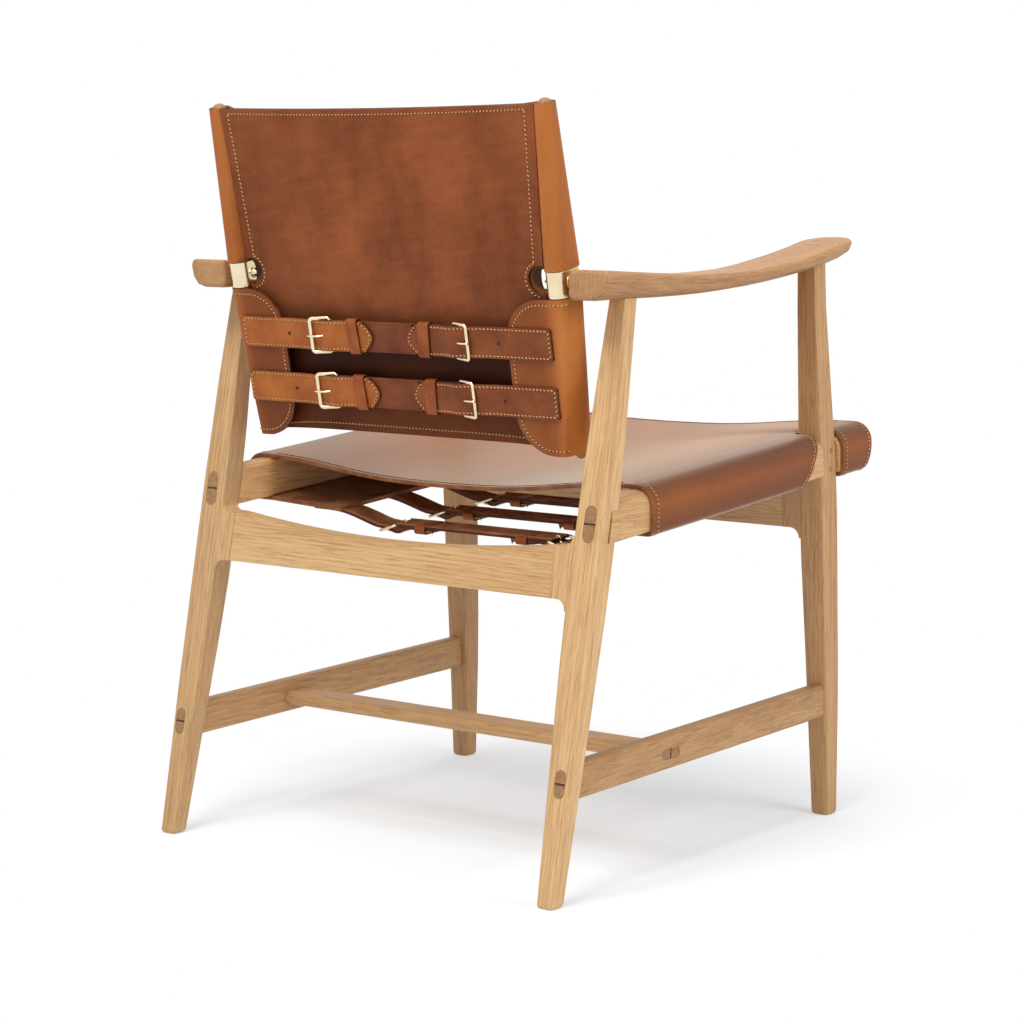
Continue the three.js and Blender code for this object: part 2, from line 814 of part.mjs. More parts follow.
function makeCrossStretcher() {
  const section = roundedShape(
    crossMiddle - crossWide / 2, crossMiddle + crossWide / 2,
    crossLevel - crossThick / 2, crossLevel + crossThick / 2, crossEdge, 4,
  );
  const slot = crossWedge(crossTenonThick, gap);
  return solid(prismX(section, -stretcherInner + gap, stretcherInner - gap))
    .add(crossTenon(0)).add(mirrorX(crossTenon(0)))
    .subtract(slot).subtract(mirrorX(slot));
}

function makeArm() {
  return armBlank
    .subtract(blindTenon(gap))
    .subtract(throughTenon(gap))
    .subtract(rodX(boltRadius + gap, 0, armInner + boltIntoArm + gap, pivotBack, pivotHeight));
}

function buildFrame() {
  addPair('rear_leg', makeRearLeg(), looks.oakLight);
  addPair('front_leg', makeFrontLeg(), looks.oak);
  addPair('side_rail', makeSideRail(), looks.oak);
  add('rear_rail', makeRail(railPlanes.rear), looks.oakLight);
  add('front_rail', makeRail(railPlanes.front), looks.oak);
  addPair('side_stretcher', makeSideStretcher(), looks.oak);
  add('cross_stretcher', makeCrossStretcher(), looks.oak);
  addPair('armrest', makeArm(), looks.oak);

  const seatHalf = seatTenonThick / 2;
  const stretcherHalf = stretcherTenonThick / 2;
  const outside = stretcherInner + stretcherThick;
  const ledge = box(sideRailInner, outside, 0, rearFootBack, 0, armUnderside);
  addPair('seat_tenon_wedge', seatWedge(seatHalf, 0).subtract(behindBack), looks.wedge);
  addPair('stretcher_wedge', stretcherWedge(stretcherHalf, 0).subtract(behindBack), looks.wedge);
  addPair('cross_wedge', crossWedge(crossTenonThick / 2, 0).intersect(ledge), looks.wedge);
  addPair('arm_wedge', armWedge(armTenonWide / 2, 0).intersect(armBlank), looks.wedge);
  const legBlank = legSolid(frontLegAt, frontLegTop);
  const names = ['lap_dowel_upper', 'lap_dowel_lower'];
  dowels(0).forEach((pin, i) => addPair(names[i], pin.intersect(legBlank), looks.oak));
}

// The back is drawn upright at its pivot (x, behind, along) and then leaned
function leaned(body) {
  const tip = new THREE.Matrix4().makeRotationX(-backLean);
  tip.setPosition(0, pivotBack, pivotHeight);
  return body.transform(tip.elements);
}

const splay = Math.tan(postSplay);
const skin = leather + gap;
const collarOuter = postNeck + gap + collarWall;

function postX(along) {
  return postSpread + splay * along;
}

function mix(from, to, share) {
  return from + (to - from) * share;
}

// Front and rear circles [across, behind, radius] of the leather wrap
function wrapCircles(along) {
  const end = along > 0 ? wrapTop : wrapBottom;
  const share = Math.max((Math.abs(along) - wrapNeck) / (end - wrapNeck), 0);
  const radius = mix(wrapNeckRadius, wrapEndRadius, share);
  const deep = mix(postDeep, 0, share);
  const rear = along > 0 ? [0, deep, radius] : [
    mix(0, -wrapRearInset, share), mix(postDeep, wrapRearBack, share),
    mix(wrapNeckRadius, wrapRearRadius, share),
  ];
  return [[0, -deep, radius], rear];
}

function ovalCircles(deep, radius) {
  return [[0, -deep, radius], [0, deep, radius]];
}

// The hull of two circles at one height of the splayed post axis
function hullRing(circles, along, shrink = 0) {
  return Array.from({ length: hullSides }, (_, i) => {
    const turn = ((i + 0.5) / hullSides) * Math.PI * 2;
    const across = Math.cos(turn);
    const behind = Math.sin(turn);
    const reach = ([x, y, radius]) => x * across + y * behind + radius;
    const [x, y, radius] = reach(circles[0]) > reach(circles[1]) ? circles[0] : circles[1];
    return new THREE.Vector3(
      postX(along) + x + (radius - shrink) * across, y + (radius - shrink) * behind, along,
    );
  });
}

function hullSolid(rings) {
  return solid(loft(rings, (p) => new THREE.Vector2(p.x, p.y)));
}

function wrapSolid(low, high, shrink, beyond = 0) {
  const rings = [low, high].map((along) => hullRing(wrapCircles(along), along, shrink));
  if (beyond > 0) {
    const shifted = (ring, way) => ring.map((p) => new THREE.Vector3(p.x, p.y, p.z + way * beyond));
    rings.unshift(shifted(rings[0], -1));
    rings.push(shifted(rings[2], 1));
  }
  return hullSolid(rings);
}

// A turned piece on the pivot axis from rows of [x, radius]
function aboutPivot(rows) {
  const points = rows.map(([x, radius]) => new THREE.Vector2(radius, x));
  const geometry = new THREE.LatheGeometry(points, 12).rotateZ(-Math.PI / 2);
  return solid(geometry.translate(0, pivotBack, pivotHeight));
}

function pivotBore() {
  return rodX(boltRadius + gap, postSpread - overrun, postSpread + overrun, 0, 0);
}

function domeRings(end, radius) {
  const way = Math.sign(end);
  const steps = 4;
  return Array.from({ length: steps + 1 }, (_, i) => {
    const turn = (i / (steps + tipSpareShare)) * Math.PI / 2;
    const along = end - way * postDome * (1 - Math.sin(turn));
    return hullRing(ovalCircles(0, radius * Math.cos(turn)), along);
  });
}

function makePost() {
  const neck = collarTall / 2 + gap;
  const shoulders = ovalCircles(postDeep, wrapNeckRadius - skin);
  const thinner = ovalCircles(postDeep, postNeck);
  return hullSolid([
    ...domeRings(-postBottom, postLowRadius).reverse(),
    hullRing(shoulders, -wrapNeck), hullRing(thinner, -neck), hullRing(thinner, neck),
    hullRing(shoulders, wrapNeck),
    ...domeRings(postTop, postTopRadius),
  ]).subtract(pivotBore());
}

function makeCollar() {
  const half = collarTall / 2;
  const tube = (radius, reach) => hullSolid([
    hullRing(ovalCircles(postDeep, radius), -reach), hullRing(ovalCircles(postDeep, radius), reach),
  ]);
  return tube(collarOuter, half).subtract(tube(postNeck + gap, half + gap)).subtract(pivotBore());
}

const nutFace = postSpread - collarOuter - gap;
const spacerFace = postSpread + collarOuter + gap;
const boltTip = nutFace - flangeThick - noseBore + gap;

function makeSpacer() {
  const end = armInner - gap;
  const body = aboutPivot([
    [spacerFace, 0], [spacerFace, spacerRadius - spacerDome],
    [spacerFace + spacerDome, spacerRadius], [end, spacerRadius], [end, 0],
  ]);
  return body.subtract(rodX(boltRadius + gap, 0, legOuter, pivotBack, pivotHeight));
}

function makeNut() {
  const flange = nutFace - flangeThick;
  const nose = flange - noseLong;
  const body = aboutPivot([
    [nose, 0], [nose, noseTip], [flange, noseRadius], [flange, flangeRadius - flangeEdge],
    [flange + flangeEdge, flangeRadius], [nutFace, flangeRadius], [nutFace, 0],
  ]);
  return body.subtract(rodX(boltRadius + gap, boltTip - gap, legOuter, pivotBack, pivotHeight));
}

// Back sling
function panelOutline() {
  const steps = 12;
  const top = [];
  const bottom = [];
  for (let i = -steps; i <= steps; i += 1) {
    const share = i / steps;
    const round = share * share;
    top.push(new THREE.Vector2(postX(wrapTop) * share, wrapTop - panelDip * (1 - round)));
    const low = panelBottom + (wrapBottom - panelBottom) * round * round * round;
    bottom.push(new THREE.Vector2(postX(-wrapBottom) * share, -low));
  }
  return new THREE.Shape([...bottom, ...top.reverse()]);
}

function panelSlab() {
  const rear = [[-postBottom, panelRearEnd], [0, panelRear], [postTop, panelRearEnd]];
  const back = rear.map(([along, behind]) => new THREE.Vector2(behind, along));
  const front = back.map((p) => new THREE.Vector2(p.x - panelThick, p.y)).reverse();
  return solid(prismX(new THREE.Shape([...back, ...front]), -postX(postTop), postX(postTop)));
}

function notch() {
  const middle = postSpread - notchInset;
  const hole = rod(
    new THREE.Vector3(middle, -overrun, notchRise), new THREE.Vector3(middle, overrun, notchRise),
    notchRadius, 20,
  );
  const wall = postSpread - collarOuter - gap * 2;
  return solid(hole)
    .add(box(middle, postSpread, -overrun, overrun, notchRise - notchRadius, wrapNeck))
    .add(box(wall, postSpread + overrun, -overrun, overrun, -wrapNeck, wrapNeck));
}

// Rear face of the flaps behind the post axis
function flapBehind(along) {
  const rear = wrapCircles(along)[1];
  return rear[1] + rear[2] * Math.cos(Math.PI / hullSides);
}

const flapLean = (flapBehind(-wrapBottom) - flapBehind(-wrapNeck)) / (wrapNeck - wrapBottom);

function makeBackFlap() {
  const inner = postSpread - flapReach;
  const centre = inner + flapCorner;
  const points = [
    new THREE.Vector2(postX(-wrapNeck), -wrapNeck),
    ...arcPoints(centre, -wrapNeck - flapCorner, flapCorner, 1, 2, 5),
    ...arcPoints(centre, -wrapBottom + flapCorner, flapCorner, 2, 3, 5),
    new THREE.Vector2(postX(-wrapBottom) - wrapRearInset, -wrapBottom),
  ];
  const behind = flapBehind(-wrapNeck) + flapLean * wrapNeck;
  const geometry = prismY(new THREE.Shape(points), behind - leather, behind);
  return solid(slant(geometry, flapLean, 0));
}

function makeBackSling() {
  const side = wrapSolid(wrapNeck, wrapTop, 0).add(wrapSolid(-wrapBottom, -wrapNeck, 0))
    .add(makeBackFlap());
  const bore = wrapSolid(wrapNeck, wrapTop, leather, overrun)
    .add(wrapSolid(-wrapBottom, -wrapNeck, leather, overrun));
  const panel = panelSlab().intersect(solid(prismY(panelOutline(), -overrun, overrun)));
  return panel.add(side).add(mirrorX(side))
    .subtract(bore).subtract(mirrorX(bore))
    .subtract(notch()).subtract(mirrorX(notch()));
}

// Both faces of a sheet around its centre line, as one closed ring of points
function thickened(path, thick) {
  const upper = [];
  const lower = [];
  path.forEach((p, i) => {
    const before = path[Math.max(i - 1, 0)];
    const after = path[Math.min(i + 1, path.length - 1)];
    const way = after.clone().sub(before).normalize();
    const side = new THREE.Vector2(-way.y, way.x).multiplyScalar(thick / 2);
    upper.push(p.clone().add(side));
    lower.push(p.clone().sub(side));
  });
  return [...upper, ...lower.reverse()];
}

// Strap rows, drawn along X with the outer side towards +Y and the width along Z
function strip(rows, thick, half) {
  const path = rows.map(([u, w]) => new THREE.Vector2(u, w));
  return solid(prismZ(new THREE.Shape(thickened(path, thick)), -half, half));
}

function barRod(u, w, radius, half, sides = 8) {
  return rod(new THREE.Vector3(u, w, -half), new THREE.Vector3(u, w, half), radius, sides);
}

const strapHalf = strapWide / 2;
const billetLevel = leather * 1.5 + gap;
const barHalf = strapHalf + buckleSlack + barRadius;

// A flat ring with chamfered edges, leaning from the heel bar up to the outer bar
function makeBuckle(bar) {
  const rise = barLevel - heelLevel;
  const long = Math.hypot(buckleLong, rise);
  const chamfer = barRadius * barChamferShare;
  const outer = barRadius - chamfer;
  const inner = barRadius - chamfer;
  const shape = roundedShape(-outer, long + outer, -barHalf - outer, barHalf + outer, barRadius, 1);
  shape.holes.push(roundedShape(inner, long - inner, -barHalf + inner, barHalf - inner, chamfer, 1));
  const depth = 2 * outer;
  const geometry = new THREE.ExtrudeGeometry(shape, {
    depth, bevelSegments: 1, bevelThickness: chamfer, bevelSize: chamfer,
  });
  geometry.translate(0, 0, -depth / 2).rotateX(-Math.PI / 2);
  geometry.rotateZ(Math.atan2(rise, buckleLong));
  return solid(geometry.translate(bar - buckleLong, heelLevel, 0));
}

// Centre line of the prong, from its eye through the billet onto the outer bar
function prongRows(bar) {
  const over = barLevel + barRadius + gap + prongThick / 2;
  return prongShares.map(([along, up]) => [
    bar - buckleLong * along, heelLevel + (over - heelLevel) * up,
  ]);
}

function makeProng(bar) {
  const heel = bar - buckleLong;
  const half = prongWide / 2;
  const eye = solid(barRod(heel, heelLevel, barRadius + gap + prongEyeWall, half, 10));
  const hole = solid(barRod(heel, heelLevel, barRadius + gap, strapHalf, 10));
  return eye.add(strip(prongRows(bar), prongThick, half)).subtract(hole);
}

function makeFixedProng(bar) {
  return strip(prongRows(bar), prongThick, prongWide / 2)
    .add(solid(barRod(bar - buckleLong, heelLevel, barRadius + prongEyeWall, prongWide / 2, 8)));
}

function makeKeeper(bar) {
  const middle = bar - keeperPlace;
  const inside = strapHalf + gap * 2;
  const top = leather * 2 + gap * 3;
  const shapeOf = (low, high, half) => roundedShape(low, high, -half, half, keeperWall / 2, 1);
  const from = middle - keeperWide / 2;
  const to = middle + keeperWide / 2;
  const outer = prismX(shapeOf(-keeperWall, top + keeperWall, inside + keeperWall), from, to);
  const inner = prismX(shapeOf(leather / 2, top, inside), from - overrun, to + overrun);
  return solid(outer).subtract(solid(inner));
}

function makeConnector(bar) {
  const heel = bar - buckleLong;
  const slotHalf = prongWide / 2 + prongSlack;
  const slotReach = barRadius + gap + prongEyeWall + prongSlack;
  const cut = box(heel - slotReach, heel + overrun, -overrun, overrun, -slotHalf, slotHalf)
    .add(solid(barRod(heel, heelLevel, barRadius + gap, strapHalf + overrun)));
  const eye = solid(barRod(heel, heelLevel, barRadius + gap + eyeWall, strapHalf));
  const keeper = makeKeeper(bar);
  return box(-heel, heel, 0, leather, -strapHalf, strapHalf)
    .add(eye).add(mirrorX(eye))
    .subtract(cut).subtract(mirrorX(cut))
    .add(keeper).add(mirrorX(keeper));
}

function makeBillet(bar, start) {
  const tip = bar - strapTip;
  const rows = [...start, ...billetShares.map(([along, up]) => [
    bar - buckleLong * along, billetLevel + billetRise * up,
  ]), [tip, billetLevel]];
  const end = start[0][0] + overrun;
  const outline = new THREE.Shape([
    new THREE.Vector2(tip, 0), new THREE.Vector2(tip + tipPoint, -strapHalf),
    new THREE.Vector2(end, -strapHalf), new THREE.Vector2(end, strapHalf),
    new THREE.Vector2(tip + tipPoint, strapHalf),
  ]);
  let body = strip(rows, leather, strapHalf + seam)
    .intersect(solid(prismY(outline, -overrun, overrun)));
  holeShares.forEach((share) => {
    const u = bar - buckleLong + holeFromHeel - holePitch * share;
    const hole = rod(
      new THREE.Vector3(u, -overrun, 0), new THREE.Vector3(u, overrun, 0), holeRadius, 6,
    );
    body = body.subtract(solid(hole));
  });
  const slack = prongSlack * 2;
  return body.subtract(strip(prongRows(bar), prongThick + slack, prongWide / 2 + prongSlack));
}

function ontoBack(body, along) {
  const turn = new THREE.Matrix4().makeRotationX(-Math.atan(flapLean));
  turn.setPosition(0, flapBehind(along), along);
  return leaned(body.transform(turn.elements));
}

function buildBack() {
  const half = collarTall / 2;
  const boltEnd = armInner + boltIntoArm;
  addPair('back_post', leaned(makePost()), looks.oak);
  addPair('pivot_collar', leaned(makeCollar()), looks.brass);
  addPair('pivot_spacer', makeSpacer(), looks.brass);
  addPair('pivot_nut', makeNut(), looks.brass);
  addPair('pivot_bolt', rodX(boltRadius, boltTip, boltEnd, pivotBack, pivotHeight), looks.brass);
  add('back_sling', leaned(makeBackSling()), looks.leather);

  const level = leather / 2 + gap;
  const free = postSpread - flapReach;
  const billet = makeBillet(backBar, [[backBilletEnd, level], [(backBilletEnd + free) / 2, level],
    [free, level], [(free + backBar) / 2, level]]);
  const names = ['upper', 'lower'];
  backRows.forEach((along, i) => {
    const place = (body) => ontoBack(body, along);
    const pair = (name, body, look) => {
      add(`${name}_${names[i]}_left`, place(body), look);
      add(`${name}_${names[i]}_right`, place(mirrorX(body)), look);
    };
    add(`back_connector_${names[i]}`, place(makeConnector(backBar)), looks.connector);
    pair('back_billet', billet, looks.strap);
    pair('back_buckle', makeBuckle(backBar), looks.brass);
    pair('back_prong', makeProng(backBar), looks.brass);
  });
}

// Seat sling: its centre line across the chair, level with the rails' underside
const slingHalf = seatLeather / 2 + gap;
const slingUnder = slingHalf + seatLeather / 2;
const railOuter = sideRailInner + sideRailThick;

function railUnderside(y) {
  return sideRailBottom + sideRailRise * (tenonBack - y);
}

function arcPoints(cx, cz, radius, from, to, steps) {
  return Array.from({ length: steps + 1 }, (_, i) => {
    const turn = (from + (to - from) * i / steps) * Math.PI / 2;
    return new THREE.Vector2(cx + radius * Math.cos(turn), cz + radius * Math.sin(turn));
  });
}

function slingHalfPath(free) {
  const low = sideRailEdge + slingHalf;
  const crown = sideRailCrown + slingHalf;
  const right = railOuter + slingHalf;
  return [
    new THREE.Vector2(free, -slingHalf - flapDroop),
    new THREE.Vector2((free + sideRailInner) / 2, -slingHalf - flapDroop * flapDroopShares[0]),
    new THREE.Vector2(sideRailInner, -slingHalf - flapDroop * flapDroopShares[1]),
    ...arcPoints(right - low, low - slingHalf, low, -1, 0, 3),
    ...arcPoints(right - crown, sideRailTall + slingHalf - crown, crown, 0, 1, 5),
  ];
}

function slingRing(y) {
  const share = (seatRear - y) / (seatRear + seatFront);
  const sag = seatSag * through(sagAlongShares, share);
  const level = sideRailTall + slingHalf;
  const span = sideRailInner + sideRailEdge;
  const steps = 8;
  const middle = [];
  for (let i = -steps; i <= steps; i += 1) {
    const across = i / steps;
    middle.push(new THREE.Vector2(-span * across, level - sag * through(sagAcrossShares, Math.abs(across))));
  }
  const leftSide = slingHalfPath(flapLeft);
  const rightSide = slingHalfPath(flapRight).reverse().map((p) => new THREE.Vector2(-p.x, p.y));
  const path = [...leftSide, ...middle, ...rightSide];
  const base = railUnderside(y);
  return thickened(path, seatLeather).map((p) => new THREE.Vector3(p.x, y, base + p.y));
}

const legAtSeat = frontLegAt(sideRailBottom + sideRailTall + frontReach * sideRailRise);

// Room around a front leg, open towards the outside
function legCut() {
  const inner = legAtSeat.inner - slitClear;
  const rear = legAtSeat.back + slitClear;
  const points = cutShares.map(([up, back]) => new THREE.Vector2(
    rear + cutSpread * back, sideRailTall * up,
  ));
  const first = points[0];
  const last = points[points.length - 1];
  points.push(new THREE.Vector2(-noseRear, last.y), new THREE.Vector2(-noseRear, first.y));
  const middle = (legAtSeat.front + legAtSeat.back) / 2;
  const slit = box(
    inner - slitReach, inner + slitReach, middle - slitWide / 2, middle + slitWide / 2,
    railUnderside(middle) + sideRailTall / 2, armUnderside,
  );
  return solid(ontoSeat(prismX(new THREE.Shape(points), inner, railOuter + overrun))).add(slit);
}

// What is missing under the seat between the flap and the nose in front of the leg
function underCut(free) {
  const far = sideRailInner + haunchFillet;
  const nose = -noseRear;
  const rise = flapFront - flapFrontInner;
  const curve = flapFrontShares.map(([across, up]) => new THREE.Vector2(
    free + (sideRailInner - free) * across, -flapFront + rise * up,
  ));
  return new THREE.Shape([
    new THREE.Vector2(far, -flapFront), ...curve,
    new THREE.Vector2(free - overrun, -flapFrontInner),
    new THREE.Vector2(free - overrun, -seatFront - overrun),
    new THREE.Vector2(noseFlap, -seatFront - overrun),
    new THREE.Vector2(noseFlap, nose), new THREE.Vector2(far, nose),
  ]);
}

// The nose's lower front corner, rounded off as seen from the side
function noseCut() {
  const front = -seatFront - overrun;
  const low = -slingUnder;
  const centre = new THREE.Vector2(-seatFront + frontCorner, low + frontCorner);
  const points = arcPoints(centre.x, centre.y, frontCorner, -2, -1, 5);
  return solid(ontoSeat(prismX(new THREE.Shape([
    ...points, new THREE.Vector2(centre.x, low - overrun), new THREE.Vector2(front, low - overrun),
    new THREE.Vector2(front, centre.y),
  ]), noseFlap - overrun, railOuter + overrun)));
}

function belowSheet(shape) {
  return solid(ontoSeat(prismZ(shape, -sideRailTall, sideRailTall * underShare)));
}

// Side is 1 for the sitter's left and -1 for the right
function seatBillet(free, side) {
  const edge = free - side * seatRowX;
  const drop = (x) => {
    const share = (sideRailInner - x) / (sideRailInner - free);
    return slingUnder + flapDroop * share + leather / 2 - seam - seatRowDrop;
  };
  return makeBillet(seatBar, [
    [edge + seatBilletSewn, drop(free + seatBilletSewn)], [edge, drop(free)],
  ]);
}

function ontoSeatRow(body, y) {
  const turn = new THREE.Matrix4().makeRotationX(-Math.PI / 2 - Math.atan(sideRailRise));
  turn.setPosition(seatRowX, y, railUnderside(y) - seatRowDrop);
  return body.transform(turn.elements);
}

function makeSeatSling() {
  const rings = [];
  const steps = 3;
  for (let i = 0; i <= steps; i += 1) {
    rings.push(slingRing(seatRear - (seatRear + seatFront) * i / steps));
  }
  const flat = (p) => new THREE.Vector2(p.x, p.z);
  const cut = legCut().add(noseCut());
  let sling = solid(loft(rings, flat))
    .subtract(cut).subtract(mirrorX(cut))
    .subtract(belowSheet(underCut(flapLeft)))
    .subtract(mirrorX(belowSheet(underCut(flapRight))));
  seatRows.forEach((y) => {
    sling = sling.add(ontoSeatRow(seatBillet(flapLeft, 1), y))
      .add(ontoSeatRow(mirrorX(seatBillet(flapRight, -1)), y));
  });
  return sling;
}

function buildSeat() {
  add('seat_sling', makeSeatSling(), looks.leather);
  const names = ['rear', 'middle', 'front'];
  const connector = makeConnector(seatBar);
  const buckle = makeBuckle(seatBar).add(makeFixedProng(seatBar));
  seatRows.forEach((y, i) => {
    add(`seat_connector_${names[i]}`, ontoSeatRow(connector, y), looks.connector);
    add(`seat_buckle_${names[i]}_left`, ontoSeatRow(buckle, y), looks.brass);
    add(`seat_buckle_${names[i]}_right`, ontoSeatRow(mirrorX(buckle), y), looks.brass);
  });
}

buildFrame();
buildBack();
buildSeat();

export default chair;
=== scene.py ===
import json
import math

import bmesh
import bpy
from mathutils import Matrix, Vector


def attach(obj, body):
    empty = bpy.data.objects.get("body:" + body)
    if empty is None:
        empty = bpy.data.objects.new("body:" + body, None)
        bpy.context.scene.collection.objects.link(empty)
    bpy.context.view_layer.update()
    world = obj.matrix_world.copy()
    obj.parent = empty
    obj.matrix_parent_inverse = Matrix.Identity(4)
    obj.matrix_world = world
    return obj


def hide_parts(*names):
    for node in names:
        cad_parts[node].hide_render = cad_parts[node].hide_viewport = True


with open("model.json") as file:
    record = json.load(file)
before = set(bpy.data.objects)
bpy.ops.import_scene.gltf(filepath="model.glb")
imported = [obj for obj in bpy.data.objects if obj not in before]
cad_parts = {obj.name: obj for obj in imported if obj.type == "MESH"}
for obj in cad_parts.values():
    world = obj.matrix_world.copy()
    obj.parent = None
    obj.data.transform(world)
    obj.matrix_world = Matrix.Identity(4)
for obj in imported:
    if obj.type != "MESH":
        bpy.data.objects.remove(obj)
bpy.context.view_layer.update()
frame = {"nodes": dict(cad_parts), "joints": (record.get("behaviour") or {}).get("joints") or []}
scene = bpy.context.scene
scene.view_settings.view_transform = "Standard"

# ---- Camera
# A long lens behind the sitter's right shoulder, a little above seat height and looking slightly down, so
# that the uprights stay nearly upright.
camera_place = Vector((-1.991, 2.5861, 0.775))
camera_yaw = math.radians(217.696)
camera_pitch = math.radians(7.091)
camera = bpy.data.objects.new("camera", bpy.data.cameras.new("camera"))
camera.data.sensor_width = 36
camera.data.lens = 97.96
ahead = Vector((
    -math.sin(camera_yaw) * math.cos(camera_pitch),
    math.cos(camera_yaw) * math.cos(camera_pitch),
    -math.sin(camera_pitch),
))
camera.location = camera_place
camera.rotation_euler = ahead.to_track_quat("-Z", "Y").to_euler()
scene.collection.objects.link(camera)
scene.camera = camera

# ---- Studio
# A white sweep under a large lamp high behind the chair, with weaker ones above, beside and by the camera.
# What the camera, metal and glass see of it is white; the floor keeps the chair's soft shadow.
pure_white = (1, 1, 1, 1)
world_level = 0.42
floor_half = 9
floor_plain = (0.8, 0.8, 0.8, 1)
floor_lit_white = (0.61, 0.635, 0.65, 1)
floor_own_white = 0.4
shadow_reach = (0.34, 0.62)
lamps = {
    "behind_high": (62, 1.4, (-0.1, 1.8, 3.1), (0, 0.1, 0.5)),
    "above": (22, 2.4, (0.5, -0.4, 3.2), (0, 0, 0.4)),
    "beside": (38, 1.4, (-3.0, -0.1, 1.7), (-0.2, 0, 0.45)),
    "by_camera": (12, 2.0, (-1.0, 3.9, 1.2), (0, 0, 0.5)),
}


def node(tree, kind, inputs=None, **settings):
    """A new node; an input is a number, a colour or the socket that feeds it."""
    made = tree.nodes.new("ShaderNode" + kind)
    for key, value in settings.items():
        setattr(made, key, value)
    for key, value in (inputs or {}).items():
        if isinstance(value, bpy.types.NodeSocket):
            tree.links.new(value, made.inputs[key])
        else:
            made.inputs[key].default_value = value
    return made


def output(tree, kind, inputs=None, **settings):
    """The first output of a new node."""
    return node(tree, kind, inputs, **settings).outputs[0]


def calculated(tree, operation, *values):
    return output(tree, "Math", dict(enumerate(values)), operation=operation)


def place_in(tree):
    return node(tree, "TexCoord").outputs["Object"]


def seen_directly(tree):
    """1 for what the camera sees itself, in metal or through glass."""
    path = node(tree, "LightPath").outputs
    metal = calculated(tree, "MAXIMUM", path["Is Camera Ray"], path["Is Glossy Ray"])
    return calculated(tree, "MAXIMUM", metal, path["Is Transmission Ray"])


def object_from(name, bm, materials):
    """A new object in the scene from a finished mesh."""
    mesh = bpy.data.meshes.new(name)
    bm.to_mesh(mesh)
    bm.free()
    for material in materials:
        mesh.materials.append(material)
    made = bpy.data.objects.new(name, mesh)
    scene.collection.objects.link(made)
    return made


world = bpy.data.worlds.new("studio")
scene.world = world
world.use_nodes = True
tree = world.node_tree
tree.nodes.clear()
lit = output(tree, "Background", {"Color": pure_white, "Strength": world_level})
white = output(tree, "Background", {"Color": pure_white, "Strength": 1})
both = output(tree, "MixShader", {0: seen_directly(tree), 1: lit, 2: white})
node(tree, "OutputWorld", {"Surface": both})

floor_paint = bpy.data.materials.new("white_sweep")
floor_paint.use_nodes = True
tree = floor_paint.node_tree
tree.nodes.clear()
plain = output(tree, "BsdfDiffuse", {"Color": floor_plain})
shaded = output(tree, "BsdfDiffuse", {"Color": floor_lit_white})
own = output(tree, "Emission", {"Strength": floor_own_white})
near = output(tree, "AddShader", {0: shaded, 1: own})
far = output(tree, "Emission", {"Strength": 1})
away = node(tree, "VectorMath", {0: place_in(tree)}, operation="LENGTH").outputs["Value"]
fade = output(tree, "MapRange", {"Value": away, "From Min": shadow_reach[0], "From Max": shadow_reach[1]},
              interpolation_type="SMOOTHSTEP")
shown = output(tree, "MixShader", {0: fade, 1: near, 2: far})
both = output(tree, "MixShader", {0: seen_directly(tree), 1: plain, 2: shown})
node(tree, "OutputMaterial", {"Surface": both})

bm = bmesh.new()
bmesh.ops.create_grid(bm, x_segments=1, y_segments=1, size=floor_half)
floor = object_from("floor", bm, [floor_paint])

for name, (power, size, place, aim) in lamps.items():
    lamp = bpy.data.objects.new(name, bpy.data.lights.new(name, "AREA"))
    lamp.data.energy = power
    lamp.data.shape = "SQUARE"
    lamp.data.size = size
    lamp.location = place
    lamp.rotation_euler = (Vector(aim) - Vector(place)).to_track_quat("-Z", "Y").to_euler()
    scene.collection.objects.link(lamp)

# ---- Oak frame
# Solid light oak, soaped and satin. Legs, rails and arms are sawn with the grain along each piece, shaped and
# sanded with softened edges, and joined with wedged through tenons.
sides = {"left": 1, "right": -1}
quarter = math.pi / 2
rake = math.radians(11.66)
oak_edge = 0.0005
tenon_reach = 0.03
grains = {
    "rear_leg": ((-rake, quarter, 0), (0.02, -0.21, 0.07)),
    "front_leg": ((0.03, quarter, 0), (0.1, -0.12, 0.16)),
    "side_rail": ((0, 0, quarter), (0.3, 0.02, -0.34)),
    "side_stretcher": ((0.02, 0, quarter + 0.03), (0.1, -0.2, -0.075)),
    "armrest": ((0, 0, quarter - 0.02), (0.15, -0.26, -0.69)),
    "rear_rail": ((0, 0.012, 0), (0, -0.3, -0.12)),
    "front_rail": ((0, -0.01, 0), (0, 0.16, -0.2)),
    "cross_stretcher": ((0, 0.01, 0), (0.2, 0.02, -0.1)),
    "back_post": ((0, quarter, 0), (0.1, -0.2, 0.1)),
}
# Colour multipliers on the oak for each kind of piece, and for one side where the two differ: mostly painted
# light and painted shade, lighter or darker by how each piece stands in the light; the back posts are darker.
oak_tones_and_painted_light = {
    "back_post": (0.55, 0.42, 0.34), "armrest": (0.7, 0.58, 0.5),
    "side_rail": (0.98, 0.92, 0.86), "side_rail_left": (1.12, 0.98, 0.86),
    "side_stretcher": (0.88, 0.79, 0.7), "side_stretcher_right": (0.73, 0.64, 0.54),
    "rear_leg": (1.06, 1.04, 1.0), "rear_leg_left": (0.9, 0.86, 0.82), "front_leg": (0.84, 0.75, 0.68),
    "rear_rail": (0.96, 0.92, 0.86), "cross_stretcher": (0.95, 0.87, 0.8),
}
tenon_ends = {
    "side_rail": [(0, 1, 0)], "side_stretcher": [(0, 1, 0)], "cross_stretcher": [(1, 0, 0), (-1, 0, 0)],
}


def rgb(red, green, blue):
    """A colour as it looks on a screen, 0 to 255, in the numbers that a shader takes."""
    levels = [c / 255 for c in (red, green, blue)]
    return (*[c / 12.92 if c < 0.04045 else ((c + 0.055) / 1.055) ** 2.4 for c in levels], 1)


def full_colour(colour):
    """A grey from one number, or a colour from three or four."""
    if isinstance(colour, (int, float)):
        colour = (colour, colour, colour)
    return (*colour[:3], 1)


